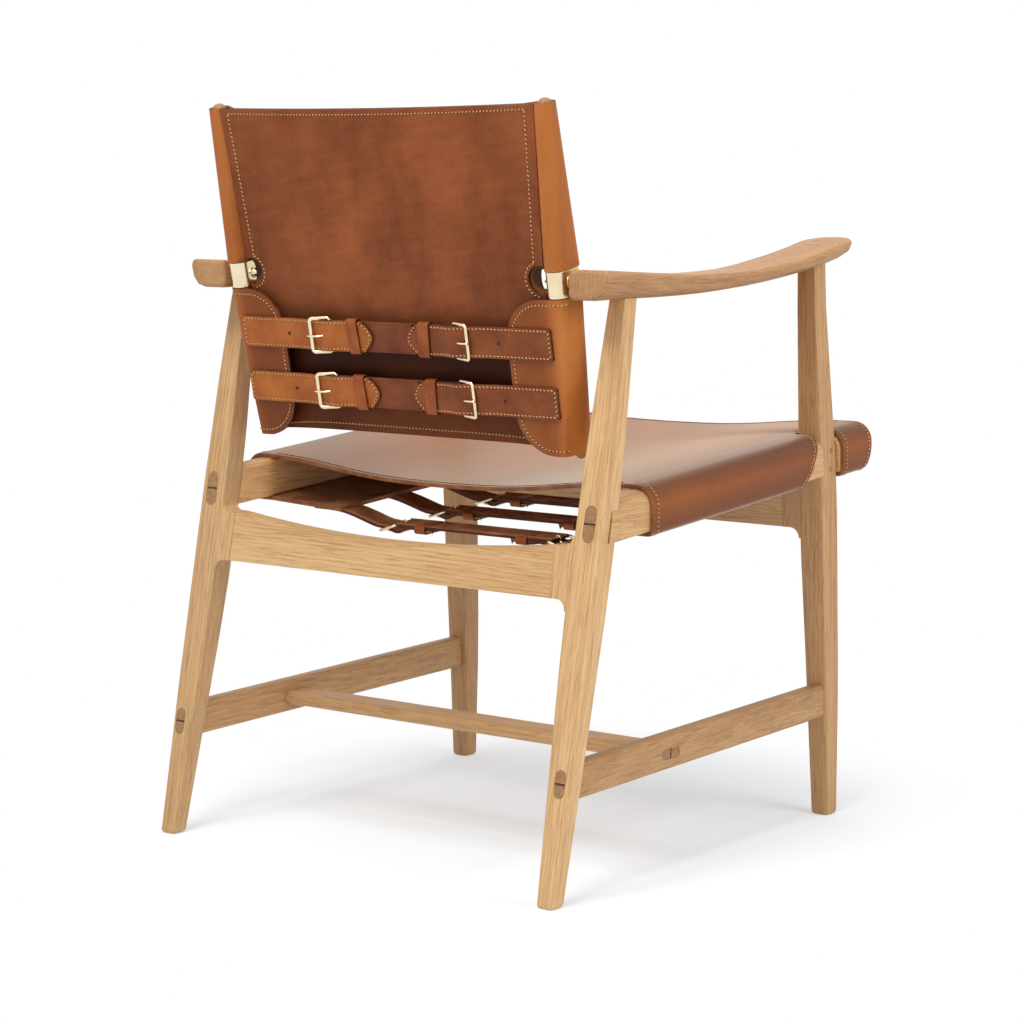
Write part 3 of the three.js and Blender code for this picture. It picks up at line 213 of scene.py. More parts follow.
def ramp(tree, factor, *stops):
    """A colour ramp through stops of a place and a grey level or colour."""
    made = node(tree, "ValToRGB", {"Fac": factor})
    bar = made.color_ramp
    bar.elements[0].position, bar.elements[0].color = stops[0][0], full_colour(stops[0][1])
    bar.elements[1].position, bar.elements[1].color = stops[-1][0], full_colour(stops[-1][1])
    for place, colour in stops[1:-1]:
        bar.elements.new(place).color = full_colour(colour)
    return made.outputs["Color"]


def blend_colour(tree, factor, first, second, kind="MIX"):
    made = node(tree, "Mix", {0: factor, 6: first, 7: second}, data_type="RGBA", blend_type=kind)
    return made.outputs[2]


def noise(tree, place, scale, detail=2, **more):
    return output(tree, "TexNoise", {"Vector": place, "Scale": scale, "Detail": detail, **more})


def stretched(tree, place, scale):
    return output(tree, "Mapping", {"Vector": place, "Scale": scale})


def new_material(name, **settings):
    material = bpy.data.materials.new(name)
    material.use_nodes = True
    shader = material.node_tree.nodes["Principled BSDF"]
    for key, value in settings.items():
        shader.inputs[key].default_value = value
    return material, material.node_tree, shader


def bump(tree, shader, height, depth, after=None):
    """A fine relief on the surface, on top of an earlier one if that is given."""
    inputs = {"Strength": 1, "Distance": depth, "Height": height}
    if after:
        inputs["Normal"] = after
    made = output(tree, "Bump", inputs)
    tree.links.new(made, shader.inputs["Normal"])
    return made


def oak(name, turn, pith, shade):
    """Oak with its grain along the turned X axis; pith is the middle of the growth rings from the piece."""
    material, tree, shader = new_material(name, Roughness=0.5)
    board = output(tree, "Mapping", {"Vector": place_in(tree), "Rotation": turn, "Location": pith},
                   vector_type="POINT")

    def grain(scale, detail):
        return noise(tree, stretched(tree, board, scale), 1, detail, Roughness=0.55)

    offset = calculated(tree, "MULTIPLY", grain((2.2, 9, 9), 3), 0.045)
    shift = output(tree, "CombineXYZ", {"Y": offset, "Z": offset})
    moved = output(tree, "VectorMath", {0: board, 1: shift}, operation="ADD")
    rings = node(tree, "TexWave", {
        "Vector": moved, "Scale": 62, "Distortion": 1.4, "Detail": 2, "Detail Scale": 1.5,
    }, wave_type="RINGS", rings_direction="X", wave_profile="SAW").outputs["Fac"]
    streaks = grain((10, 430, 430), 3)
    ring_tone = ramp(tree, rings, (0, 0.25), (0.55, 0.62), (1, 0.8))
    tone = blend_colour(tree, 0.5, ring_tone, ramp(tree, streaks, (0.3, 0.1), (0.7, 1)))
    tone = blend_colour(tree, 0.3, tone, ramp(tree, grain((2, 34, 34), 3), (0.3, 0), (0.7, 1)))
    colour = ramp(tree, tone, (0.18, rgb(178, 134, 88)), (0.5, rgb(208, 167, 117)), (0.8, rgb(222, 186, 138)))
    pore = ramp(tree, grain((28, 760, 760), 2), (0.36, 1), (0.45, 0))
    colour = blend_colour(tree, calculated(tree, "MULTIPLY", pore, 0.45), colour, rgb(150, 106, 66))
    fleck = ramp(tree, grain((30, 120, 120), 2), (0.68, 0), (0.76, 1))
    colour = blend_colour(tree, calculated(tree, "MULTIPLY", fleck, 0.3), colour, rgb(232, 202, 160))
    # Painted light and shade: the oak's colour is multiplied by the piece's factor from the table of tones.
    colour = blend_colour(tree, 1, colour, (*shade, 1), "MULTIPLY")
    tree.links.new(colour, shader.inputs["Base Color"])
    bump(tree, shader, pore, -0.00012, bump(tree, shader, streaks, 0.00006))
    return material


def piece(name, bm, materials, body, *stands_for, slot=None):
    """A finished mesh that rides on a body and stands for the CAD nodes named."""
    made = object_from(name, bm, materials)
    made.data.shade_smooth()
    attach(made, body)
    if stands_for:
        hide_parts(*stands_for)
    return made


def softened(node_name):
    """The CAD node's own shape, merged, with its sharp edges rounded off."""
    bm = bmesh.new()
    bm.from_mesh(frame["nodes"][node_name].data)
    bmesh.ops.remove_doubles(bm, verts=bm.verts, dist=0.00001)
    bmesh.ops.dissolve_limit(bm, angle_limit=math.radians(0.6), verts=bm.verts, edges=bm.edges)
    sharp = [e for e in bm.edges if e.is_manifold and e.calc_face_angle(0) > math.radians(35)]
    bmesh.ops.bevel(bm, geom=sharp, offset=oak_edge, segments=2, affect="EDGES", profile=0.5, material=-1,
                    clamp_overlap=True)
    return bm


def weighted(made, angle=30):
    """Flat faces stay flat in the light and rounded edges run smoothly into them."""
    made.data.set_sharp_from_angle(angle=math.radians(angle))
    made.modifiers.new("even_shade", "WEIGHTED_NORMAL").keep_sharp = True


oaks = {}
for kind, (turn, pith) in grains.items():
    for side, offset in (("left", 0), ("right", 0.035)):
        moved = (pith[0] + offset * 3, pith[1] + offset, pith[2] - offset)
        shade = oak_tones_and_painted_light.get(f"{kind}_{side}", oak_tones_and_painted_light.get(kind, (1, 1, 1)))
        oaks[kind, side] = oak(f"oak_{kind}_{side}", turn, moved, shade)

end_grain, tree, shader = new_material("oak_end_grain", Roughness=0.6)
place = place_in(tree)
spots = output(tree, "TexVoronoi", {"Vector": place, "Scale": 1400})
colour = ramp(tree, noise(tree, place, 300, 3), (0.3, rgb(136, 98, 64)), (0.7, rgb(174, 130, 88)))
dotted = blend_colour(tree, 1, colour, ramp(tree, spots, (0.1, 0.55), (0.3, 1)), "MULTIPLY")
tree.links.new(dotted, shader.inputs["Base Color"])
bump(tree, shader, spots, 0.00006)

for name in frame["nodes"]:
    kind, _, side = name.rpartition("_")
    if name in grains:
        kind, side = name, "left"
    if kind not in grains:
        continue
    bm = softened(name)
    for outward in tenon_ends.get(kind, []):
        outward = Vector(outward)
        reach = max(v.co.dot(outward) for v in bm.verts)
        for f in bm.faces:
            if f.normal.dot(outward) > 0.7 and f.calc_center_median().dot(outward) > reach - tenon_reach:
                f.material_index = 1
    body = "back" if kind == "back_post" else "frame"
    weighted(piece(f"oak_{name}", bm, [oaks[kind, side], end_grain], body, name, slot="oak"))

# ---- Wedges and dowels
# Wedges of dark hardwood, driven into the ends of the tenons and cut flush, and oak dowels with their end
# grain outwards, which pin the half laps of side rails and front legs.


def speckled(name, roughness, scale, dark, light, detail=2, spread=0.2, depth=0.0):
    """A plain material that varies finely between two colours."""
    material, tree, shader = new_material(name, Roughness=roughness)
    fine = noise(tree, place_in(tree), scale, detail)
    colour = ramp(tree, fine, (0.5 - spread, dark), (0.5 + spread, light))
    tree.links.new(colour, shader.inputs["Base Color"])
    if depth:
        bump(tree, shader, fine, depth)
    return material


def dress(name, material):
    """A better material on a CAD node that keeps its shape."""
    mesh = frame["nodes"][name].data
    mesh.materials.clear()
    mesh.materials.append(material)


wedge_wood = speckled("dark_wedge", 0.55, 900, rgb(38, 24, 16), rgb(74, 48, 32), 3, 0.15, 0.00008)
for name in frame["nodes"]:
    if "wedge" in name:
        dress(name, wedge_wood)
    if "dowel" in name:
        dress(name, end_grain)

# ---- Brass
# Turned and polished brass with fine turning marks. The collars clasp the back's posts, and bolts through the
# arms carry them between spacers and cone nuts.
pivot = Vector(frame["joints"][0]["pos_m"])
lean = math.radians(11.65)
upright = Matrix.Translation(pivot) @ Matrix.Rotation(-lean, 4, "X")
post_spread = 0.228
splay = math.tan(math.radians(1.17))
post_deep = 0.009
collar_outer = 0.0125
collar_wall = 0.0019
collar_half = 0.0145
flange = 0.2138
spacer_face = 0.2408
spacer_long = 0.0061
nut_rows = [(-0.0098, 0.0001), (-0.0098, 0.0012), (-0.0094, 0.0017), (0, 0.0052), (0, 0.0059),
            (0.0005, 0.0064), (0.0014, 0.0064), (0.0014, 0.0001)]
spacer_rows = [(0, 0.0001), (0, 0.0042), (0.0004, 0.0049), (0.0012, 0.0059), (0.0024, 0.0068),
               (0.0034, 0.007), (spacer_long, 0.007), (spacer_long, 0.0001)]

brass, tree, shader = new_material("brass", Metallic=1)
place = place_in(tree)
colour = ramp(tree, noise(tree, place, 30), (0.3, rgb(236, 215, 172)), (0.7, rgb(248, 233, 200)))
tree.links.new(colour, shader.inputs["Base Color"])
marks = noise(tree, stretched(tree, place, (300, 300, 3000)), 1)
tree.links.new(ramp(tree, marks, (0.3, 0.2), (0.7, 0.27)), shader.inputs["Roughness"])
bump(tree, shader, marks, 0.00001)


def joined(bm, gap):
    """Merges points that meet and turns all faces outwards."""
    bmesh.ops.remove_doubles(bm, verts=bm.verts, dist=gap)
    bmesh.ops.recalc_face_normals(bm, faces=bm.faces)


def spun(bm, start, rows):
    """A turned piece on the pivot's axis from rows of (place along X from its start, radius)."""
    line = [bm.verts.new((start + along, radius, 0)) for along, radius in rows]
    edges = [bm.edges.new(pair) for pair in zip(line, line[1:])]
    bmesh.ops.spin(bm, geom=line + edges, cent=(0, 0, 0), axis=(1, 0, 0), angle=2 * math.pi, steps=40,
                   use_merge=True)
    joined(bm, 0.00001)
    bmesh.ops.translate(bm, vec=pivot, verts=bm.verts)


def collar_band(bm):
    """An upright oval band: half circles in front and behind, joined by flat sides."""
    radius = collar_outer - collar_wall / 2
    ring = bmesh.ops.create_circle(bm, cap_ends=False, radius=1, segments=72)["verts"]
    for v in ring:
        turn = math.atan2(v.co.y, v.co.x)
        behind = radius * math.sin(turn) + math.copysign(post_deep, math.sin(turn))
        v.co = (radius * math.cos(turn), behind, -collar_half)
    edges = list({e for v in ring for e in v.link_edges})
    top = bmesh.ops.extrude_edge_only(bm, edges=edges)["geom"]
    top = [part for part in top if isinstance(part, bmesh.types.BMVert)]
    bmesh.ops.translate(bm, vec=(0, 0, 2 * collar_half), verts=top)
    for v in bm.verts:
        v.co.x += post_spread + splay * v.co.z
    bmesh.ops.recalc_face_normals(bm, faces=bm.faces)


def shaped(shape, *sizes, lay=None, flip=False, **more):
    """A fresh mesh from a shaping function, put in its place; flip makes the sitter's right-hand one."""
    bm = bmesh.new()
    shape(bm, *sizes, **more)
    if flip:
        bmesh.ops.scale(bm, vec=(-1, 1, 1), verts=bm.verts)
        bmesh.ops.reverse_faces(bm, faces=bm.faces)
    if lay is not None:
        bmesh.ops.transform(bm, matrix=lay, verts=bm.verts)
    return bm


def thick(made, wall, edge, rim=0):
    """Gives a sheet its thickness and rounds its cut edge."""
    skin = made.modifiers.new("wall", "SOLIDIFY")
    skin.thickness = wall
    skin.offset = 0
    skin.use_even_offset = True
    skin.material_offset_rim = rim
    soft = made.modifiers.new("soft_edge", "BEVEL")
    soft.width = edge
    soft.segments = 2
    soft.limit_method = "ANGLE"
    soft.angle_limit = math.radians(50)


def brass_piece(name, bm, body, stands_for):
    return piece(name, bm, [brass], body, stands_for, slot="brass")


for side in sides:
    flip = side == "right"
    collar = shaped(collar_band, lay=upright, flip=flip)
    collar = brass_piece(f"brass_collar_{side}", collar, "back", f"pivot_collar_{side}")
    thick(collar, collar_wall, 0.0005)
    weighted(collar)
    spacer = shaped(spun, spacer_face, spacer_rows, flip=flip)
    weighted(brass_piece(f"brass_spacer_{side}", spacer, "back", f"pivot_spacer_{side}"))
    nut = shaped(spun, flange, nut_rows, flip=flip)
    weighted(brass_piece(f"brass_nut_{side}", nut, "frame", f"pivot_nut_{side}"), 25)
    dress(f"pivot_bolt_{side}", brass)

# ---- Back leather
# Thick vegetable-tanned saddle leather, smooth and waxed. The wraps catch the light and carry a painted
# highlight, with painted shade on the flaps and painted shadow round the notches; the lining behind is
# darker, with cloudy marks and painted shadow under the straps, and all of it is darkened at its cut and
# burnished edges.
leather_wall = 0.003
lining_wall = 0.0032
leather_edge = 0.0005
wrap_top = 0.1915
wrap_bottom = 0.1875
wrap_neck = 0.015
neck_radius = 0.0136
top_radius = 0.0118
flap_end_radius = 0.008
flap_end_across = -0.0082
flap_end_behind = 0.0168
panel_neck = 0.0128
panel_end = 0.0092
panel_long = 0.1958
fold_reach = 0.018
front_sheet_gap = 0.0052
notch_middle = 0.207
notch_rise = 0.004
notch_radius = 0.0155
notch_inner = notch_middle - notch_radius
notch_place = (0.206, 0, 0.657)
front_notch = (0.0025, 0.0105)
lining_notch = (notch_radius, notch_radius)
lining_wide = 0.2128
flap_inner = 0.161
flap_corner = 0.048
flap_middle = flap_inner + flap_corner
sheet_rows = 30


def leather(name, tans, cloud, gloss, grain_depth=0.00005, along=(1, 1, 1)):
    """Smooth cowhide in three tans, dark to light: soft clouds of colour, fine pores and faint creases."""
    material, tree, shader = new_material(name, **{"Specular IOR Level": 0.2})
    place = place_in(tree)
    spread = stretched(tree, place, along)
    soft = noise(tree, spread, cloud, 5, Roughness=0.6)
    speck = noise(tree, place, 420, 3, Roughness=0.7)
    clouds = ramp(tree, soft, (0.3, 0), (0.7, 1))
    tone = blend_colour(tree, 0.2, clouds, ramp(tree, speck, (0.3, 0), (0.7, 1)))
    colour = ramp(tree, tone, *[(place_on, rgb(*tan)) for place_on, tan in zip((0.1, 0.5, 0.9), tans)])
    tree.links.new(colour, shader.inputs["Base Color"])
    pores = output(tree, "TexVoronoi", {"Vector": place, "Scale": 900})
    creases = noise(tree, spread, 130, 4, Distortion=1.2)
    bump(tree, shader, pores, grain_depth, bump(tree, shader, creases, grain_depth * 2))
    worn = ramp(tree, soft, (0.3, gloss - 0.07), (0.7, gloss + 0.1))
    tree.links.new(worn, shader.inputs["Roughness"])
    return material


def place_of(tree):
    """How far a place is out from the chair's middle, behind, up, and across with its sign."""
    split = node(tree, "SeparateXYZ", {0: place_in(tree)}).outputs
    return calculated(tree, "ABSOLUTE", split["X"]), split["Y"], split["Z"], split["X"]


def part_of(tree, value, low, high):
    return output(tree, "MapRange", {"Value": value, "From Min": low, "From Max": high})


def sum_of(tree, *pairs):
    """A weighted sum of sockets."""
    total = 0.0
    for value, weight in pairs:
        total = calculated(tree, "MULTIPLY_ADD", value, weight, total)
    return total


def toned(material, share, *stops):
    """Multiplies the colour by a ramp along a share of 0 to 1, for wear and patina, and for painted shade and
    painted highlights.
    """
    tree = material.node_tree
    colour = tree.nodes["Principled BSDF"].inputs["Base Color"]
    toning = ramp(tree, share, *stops)
    tree.links.new(blend_colour(tree, 1, colour.links[0].from_socket, toning, "MULTIPLY"), colour)


wrap_tans = [(156, 88, 38), (180, 106, 48), (196, 124, 62)]
lining_tans = [(112, 59, 32), (141, 77, 44), (158, 90, 53)]
wrap_leather = leather("wrap_leather", wrap_tans, 9, 0.42, 0.00004, (1, 1, 0.5))
lining_leather = leather("lining_leather", lining_tans, 9, 0.48, along=(1, 1, 0.6))
cut_edge = leather("leather_cut_edge", [(54, 28, 16), (78, 42, 25), (104, 60, 38)], 60, 0.5)

tree = wrap_leather.node_tree
out, behind, up, across = place_of(tree)
toned(wrap_leather, part_of(tree, across, -0.2, 0.2), (0, 1), (1, (0.76, 0.7, 0.68)))
beyond_post = sum_of(tree, (up, -splay / math.cos(lean)), (out, 1))
post_line = post_spread - splay * pivot.z / math.cos(lean)
past_posts = pivot.y * math.cos(lean) - pivot.z * math.sin(lean)
depth = sum_of(tree, (behind, math.cos(lean)), (up, -math.sin(lean)))
# Painted shade: the flaps below the collars are made darker than the wraps round the posts, which catch more
# light.
flap_side = part_of(tree, beyond_post, post_line - 0.012, post_line + 0.004)
flap_high = part_of(tree, up, 0.636, 0.646)
before_flap = part_of(tree, depth, past_posts + 0.017, past_posts + 0.013)
on_wrap = calculated(tree, "MAXIMUM", calculated(tree, "MAXIMUM", flap_side, flap_high), before_flap)
toned(wrap_leather, on_wrap, (0, (0.66, 0.55, 0.6)), (1, 1))
# Painted highlight down each wrap near the post's line, with painted shade toward its inner edge and more
# round its outer side.
wrap_painted_highlight = part_of(tree, beyond_post, post_line - 0.022, post_line + 0.024)
toned(wrap_leather, wrap_painted_highlight, (0, 0.85), (0.22, 1), (0.42, 1.08), (0.72, 0.95), (1, 0.74))
# Painted shadow: the front sheet's rear face is darkened nearly to black round the collar's notch, where it
# lies in shade.
flat_place = output(tree, "CombineXYZ", {"X": out, "Z": up})
to_notch = node(tree, "VectorMath", {0: flat_place, 1: notch_place}, operation="DISTANCE").outputs["Value"]
sheet_front = part_of(tree, depth, past_posts + 0.0088, past_posts + 0.0075)
clear_of_notch_shadow = calculated(tree, "MAXIMUM", part_of(tree, to_notch, 0.009, 0.019), sheet_front)
toned(wrap_leather, clear_of_notch_shadow, (0, 0.1), (1, 1))

tree = lining_leather.node_tree
tree.nodes["Principled BSDF"].inputs["Specular IOR Level"].default_value = 0.12
_, _, up, across = place_of(tree)
flat_creases = {"X": sum_of(tree, (across, 16)), "Z": sum_of(tree, (up, 95), (across, 14))}
creased = noise(tree, output(tree, "CombineXYZ", flat_creases), 1, 4, Roughness=0.65)
toned(lining_leather, creased, (0.34, 0.9), (0.66, 1.1))
toned(lining_leather, part_of(tree, across, -0.2, 0.2), (0, 0.95), (0.4, 1.12), (0.7, 1), (1, 0.76))
# Painted shadow: dark bands on the lining around and between the strap rows, where the straps shade it.
painted_strap_shadow = [(0, (0.6, 0.52, 0.44)), (0.26, (0.42, 0.34, 0.28)), (0.4, (0.1, 0.07, 0.05)),
               (0.5, (0.22, 0.16, 0.12)), (0.63, (0.06, 0.04, 0.03)), (0.76, 0.72), (0.92, 1)]
toned(lining_leather, part_of(tree, up, 0.45, 0.65), *painted_strap_shadow)


def mixed(start, end, share):
    return start + (end - start) * share


def spaced(low, high, count):
    """Evenly spaced numbers from low to high."""
    return [mixed(low, high, i / (count - 1)) for i in range(count)]


def arc(across, up, radius, degrees):
    """Places on a circle at angles in degrees."""
    turns = [math.radians(angle) for angle in degrees]
    return [(across + radius * math.cos(turn), up + radius * math.sin(turn)) for turn in turns]


def fill(bm, table):
    """A sheet of faces through a table of places, column by column."""
    columns, rows = len(table), len(table[0])
    made = bmesh.ops.create_grid(bm, x_segments=columns - 1, y_segments=rows - 1, size=1)["verts"]
    for i, column in enumerate(table):
        for j, place in enumerate(column):
            made[j * columns + i].co = place


def both_ways(columns):
    """The columns from the middle out to one side, and their mirror image on the other."""
    return [[(-x, behind, s) for x, behind, s in column] for column in reversed(columns[1:])] + columns


def post_x(along):
    return post_spread + splay * along


def panel_rear(along):
    """Rear face of the stretched panel behind the posts' axis."""
    return mixed(panel_neck, panel_end, min(abs(along) / panel_long, 1))


def under_lining(along):
    return panel_rear(along) - lining_wall - leather_wall / 2


def front_sheet_level(along):
    return panel_rear(along) - front_sheet_gap


def wrap_circles(along):
    """The front and rear circles (across, behind, radius) that the leather is pulled around."""
    end = wrap_top if along > 0 else wrap_bottom
    share = max((abs(along) - wrap_neck) / (end - wrap_neck), 0)
    radius = mixed(neck_radius, top_radius, share) - leather_wall / 2
    deep = mixed(post_deep, 0, share)
    if along > 0:
        return (0, -deep, radius), (0, deep, radius)
    flap_radius = mixed(neck_radius, flap_end_radius, share) - leather_wall / 2
    flap = (flap_end_across * share, mixed(post_deep, flap_end_behind, share), flap_radius)
    return (0, -deep, radius), flap


def wrap_path(along):
    """Across and behind, from the front sheet's fold round the outside of the post to its rear."""
    front, rear = wrap_circles(along)
    fold = (-front[2] - fold_reach, front_sheet_level(along))
    to_fold = Vector((fold[0] - front[0], fold[1] - front[1]))
    start = math.atan2(to_fold.y, to_fold.x) + math.acos(front[2] / to_fold.length)
    apart = Vector((rear[0] - front[0], rear[1] - front[1]))
    leave = 2 * math.pi
    if apart.length > 0.0001:
        leave += math.atan2(apart.y, apart.x) - math.acos((front[2] - rear[2]) / apart.length)
    end = 2.5 * math.pi
    if along > 0:
        end = 3 * math.pi - math.asin(max(min((under_lining(along) - rear[1]) / rear[2], 1), -1))
    start, leave, end = math.degrees(start), math.degrees(leave), math.degrees(end)
    return [fold] + arc(*front, spaced(start, leave, 9)) + arc(*rear, spaced(leave, end, 11)[1:])


def notch_height(x, side, notch):
    """Where the collar's cut-out ends above (side 1) or below (side -1) its middle."""
    wide, tall = notch
    if x <= notch_middle - wide:
        return notch_rise
    return notch_rise + side * tall * math.sqrt(max(1 - ((x - notch_middle) / wide) ** 2, 0))


def sheet_top(share):
    return wrap_top - 0.003 * (1 - share * share)


def sheet_bottom(share):
    return -(0.1805 + 0.007 * share ** 6)


def sheet_range(x, side, notch):
    """Lowest and highest point along the posts of the stretched sheet at x."""
    share = min(x / post_x(wrap_top), 1)
    if side > 0:
        return notch_height(x, 1, notch), sheet_top(share)
    return sheet_bottom(share), notch_height(x, -1, notch)


inner_columns = [0, 0.04, 0.08, 0.12, 0.15, 0.175, 0.187, 0.1915]
front_angles = (180, 165, 150, 130, 110, 90)
lining_angles = (168, 156, 144, 132, 120, 105, 90)
front_columns = inner_columns + [0.199] + [x for x, _ in arc(notch_middle, 0, front_notch[0], front_angles)]
lining_columns = inner_columns + [x for x, _ in arc(notch_middle, 0, notch_radius, lining_angles)]


def sling_skin(bm, side):
    """Front sheet and both wraps above (side 1) or below (side -1) the pivot; the flaps come after."""
    columns = []
    for x in front_columns:
        heights = spaced(*sheet_range(x, side, front_notch), sheet_rows)
        columns.append([(x, front_sheet_level(s), s) for s in heights])
    low, high = (wrap_neck, wrap_top) if side > 0 else (-wrap_bottom, -wrap_neck)
    paths = [(s, wrap_path(s)) for s in spaced(low, high, sheet_rows)]
    for step in range(1, len(paths[0][1])):
        columns.append([(post_x(s) + path[step][0], path[step][1], s) for s, path in paths])
    rear = columns[-1]
    if side > 0:
        columns.append([(x - 0.004, under_lining(s), s) for x, _, s in rear])
    else:
        for share in (0.5, 1):
            columns.append([(mixed(x, flap_middle, share), behind, s) for x, behind, s in rear])
        for turn in spaced(0, quarter, 15)[1:]:
            x = flap_middle - flap_corner * math.sin(turn)
            shy = flap_corner * (1 - math.cos(turn))
            heights = spaced(-wrap_bottom + shy, -wrap_neck - shy, sheet_rows)
            columns.append([(x, sum(wrap_circles(s)[1][1:]), s) for s in heights])
    fill(bm, both_ways(columns))


def lining_edge(along):
    return lining_wide + 0.0109 * max(along - 0.016, 0) / 0.1755 - 0.004 * max(-along, 0) / 0.1875


def lining_half(bm, side):
    """The lining above (side 1) or below (side -1) the pivot, cut out for the collars."""
    columns = []
    for x in lining_columns + [lining_wide]:
        share = max((x - notch_inner) / (lining_wide - notch_inner), 0)
        column = []
        for s in spaced(*sheet_range(x, side, lining_notch), sheet_rows):
            wide = mixed(notch_inner, lining_edge(s), share) if share else x
            column.append((wide, panel_rear(s) - lining_wall / 2, s))
        columns.append(column)
    fill(bm, both_ways(columns))


def two_halves(bm, half):
    """A whole sheet of the back from its half above and its half below the pivot."""
    half(bm, 1)
    half(bm, -1)
    joined(bm, 0.00002)


def area_of(bm):
    return sum(f.calc_area() for f in bm.faces)


def leather_piece(name, bm, face, body, *stands_for, slot="saddle_leather",
                  wall=leather_wall, edge=leather_edge, rim=cut_edge):
    """A sheet or strap with its thickness and its darker, rounded cut edge."""
    made = piece(name, bm, [face, rim], body, *stands_for, slot=slot)
    thick(made, wall, edge, rim=1)
    weighted(made, 50)
    return made


bm = shaped(two_halves, sling_skin, lay=upright)
skin_area = area_of(bm)
skin = leather_piece("back_sling_skin", bm, wrap_leather, "back", "back_sling")
bm = shaped(two_halves, lining_half, lay=upright)
lining_area = area_of(bm)
lining = leather_piece("back_sling_lining", bm, lining_leather, "back", wall=lining_wall)

# ---- Stitching
# Waxed linen thread in saddle stitch, lying a little proud of the leather; between two stitches each awl hole
# is a small dark disc of painted shadow.
thread_pitch = 0.0047
thread_wide = 0.0018
thread_slant = math.radians(24)
thread_lift = 0.00004
stitch_shares = (0.42, 0.4, 0.3)
notch_thread = 0.019
panel_inset = 0.012
flap_inset = 0.006

thread = speckled("waxed_thread", 0.6, 700, rgb(190, 132, 78), rgb(230, 180, 120), depth=0.0001)
# Painted shadow for awl holes, punched holes and slits: a dark disc or patch laid on the leather.
painted_hole_shadow = speckled("painted_hole_shadow", 0.8, 800, rgb(30, 16, 10), rgb(58, 32, 20))


def along_curve(points):
    """Evenly spaced places on a line of (place, surface normal), each with its direction and normal."""
    lengths = [(b[0] - a[0]).length for a, b in zip(points, points[1:])]
    count = max(int(sum(lengths) / thread_pitch), 1)
    step = sum(lengths) / count
    found, reach, i = [], step / 2, 0
    for _ in range(count):
        while reach > lengths[i] and i < len(lengths) - 1:
            reach -= lengths[i]
            i += 1
        (a, normal_a), (b, normal_b) = points[i], points[i + 1]
        share = reach / lengths[i]
        found.append((a.lerp(b, share), (b - a).normalized(), normal_a.lerp(normal_b, share).normalized()))
        reach += step
    return found, step


def stitch(bm, points):
    """One row of stitches, with an awl hole after each as a dark disc of painted shadow, along a line of
    (place, surface normal).
    """
    places, step = along_curve(points)
    long, wide, high = stitch_shares
    size = Matrix.Diagonal((step * long, thread_wide * wide, thread_wide * high, 1))
    form = Matrix.Rotation(thread_slant, 4, "Z") @ size
    for place, way, normal in places:
        turn = Matrix((way, normal.cross(way).normalized(), normal)).transposed().to_4x4()
        lie = Matrix.Translation(place + normal * thread_wide * 0.12) @ turn
        bmesh.ops.create_uvsphere(bm, u_segments=6, v_segments=5, radius=1, matrix=lie @ form)
        hole = Matrix.Translation(place + way * step / 2 + normal * 0.00006) @ turn
        dots = bmesh.ops.create_circle(bm, cap_ends=True, radius=thread_wide / 2, segments=6, matrix=hole)
        darkened(dots["verts"])


def darkened(verts):
    """Gives the faces at these points the piece's second material."""
    for f in {f for v in verts for f in v.link_faces}:
        f.material_index = 1


def stitching(name, bm, body):
    return piece(name, bm, [thread, painted_hole_shadow], body, slot="saddle_leather")


def raised(place, out):
    """A place for thread just above the back's leather, and the way out of the surface there."""
    return upright @ (Vector(place) + out * thread_lift), upright.to_3x3() @ out


def on_panel(x, along):
    return raised((x, panel_rear(along), along), Vector((0, 1, 0)))


def on_flap(x, along):
    """On the flap's leather, over the post too, where it starts to turn away."""
    across, behind, radius = wrap_circles(along)[1]
    reach = radius + leather_wall / 2
    turn_from = post_x(along) + across
    turn = min(max((x - turn_from) / reach, 0), 1.35)
    out = Vector((math.sin(turn), math.cos(turn), 0))
    return raised(Vector((min(x, turn_from), behind, along)) + out * reach, out)


def stitch_both_sides(bm, points):
    stitch(bm, points)
    stitch(bm, [(Vector((-p.x, p.y, p.z)), Vector((-n.x, n.y, n.z))) for p, n in points])


def panel_stitches(bm):
    """Down both sides, round both notches, and along the top and bottom of the lining."""
    down = spaced(0.1855, 0.0215, 42)
    stitch_both_sides(bm, [on_panel(lining_edge(s) - panel_inset, s) for s in down])
    round_notch = arc(notch_middle, notch_rise, notch_thread, range(105, 266, 8))
    stitch_both_sides(bm, [on_panel(*p) for p in round_notch])
    shares = spaced(-1, 1, 41)
    stitch(bm, [on_panel(share * 0.2118, sheet_top(share) - 0.006) for share in shares])
    stitch(bm, [on_panel(share * 0.2, sheet_bottom(share) + 0.0085) for share in shares])


def flap_stitches(bm):
    """In from the post, round both corners of the flap and out to the post again."""
    corner = flap_corner - flap_inset
    run = [(flap_middle + x, -wrap_neck - flap_inset) for x in (0.036, 0.03, 0.024, 0.018, 0.012, 0.006)]
    run += arc(flap_middle, -wrap_neck - flap_corner, corner, range(90, 181, 6))
    run += arc(flap_middle, -wrap_bottom + flap_corner, corner, range(180, 271, 6))
    run += [(flap_middle + x, -wrap_bottom + flap_inset) for x in (0.006, 0.012, 0.018, 0.024)]
    stitch_both_sides(bm, [on_flap(*p) for p in run])


panel_thread = stitching("back_panel_stitching", shaped(panel_stitches), "back")
flap_thread = stitching("back_flap_stitching", shaped(flap_stitches), "back")

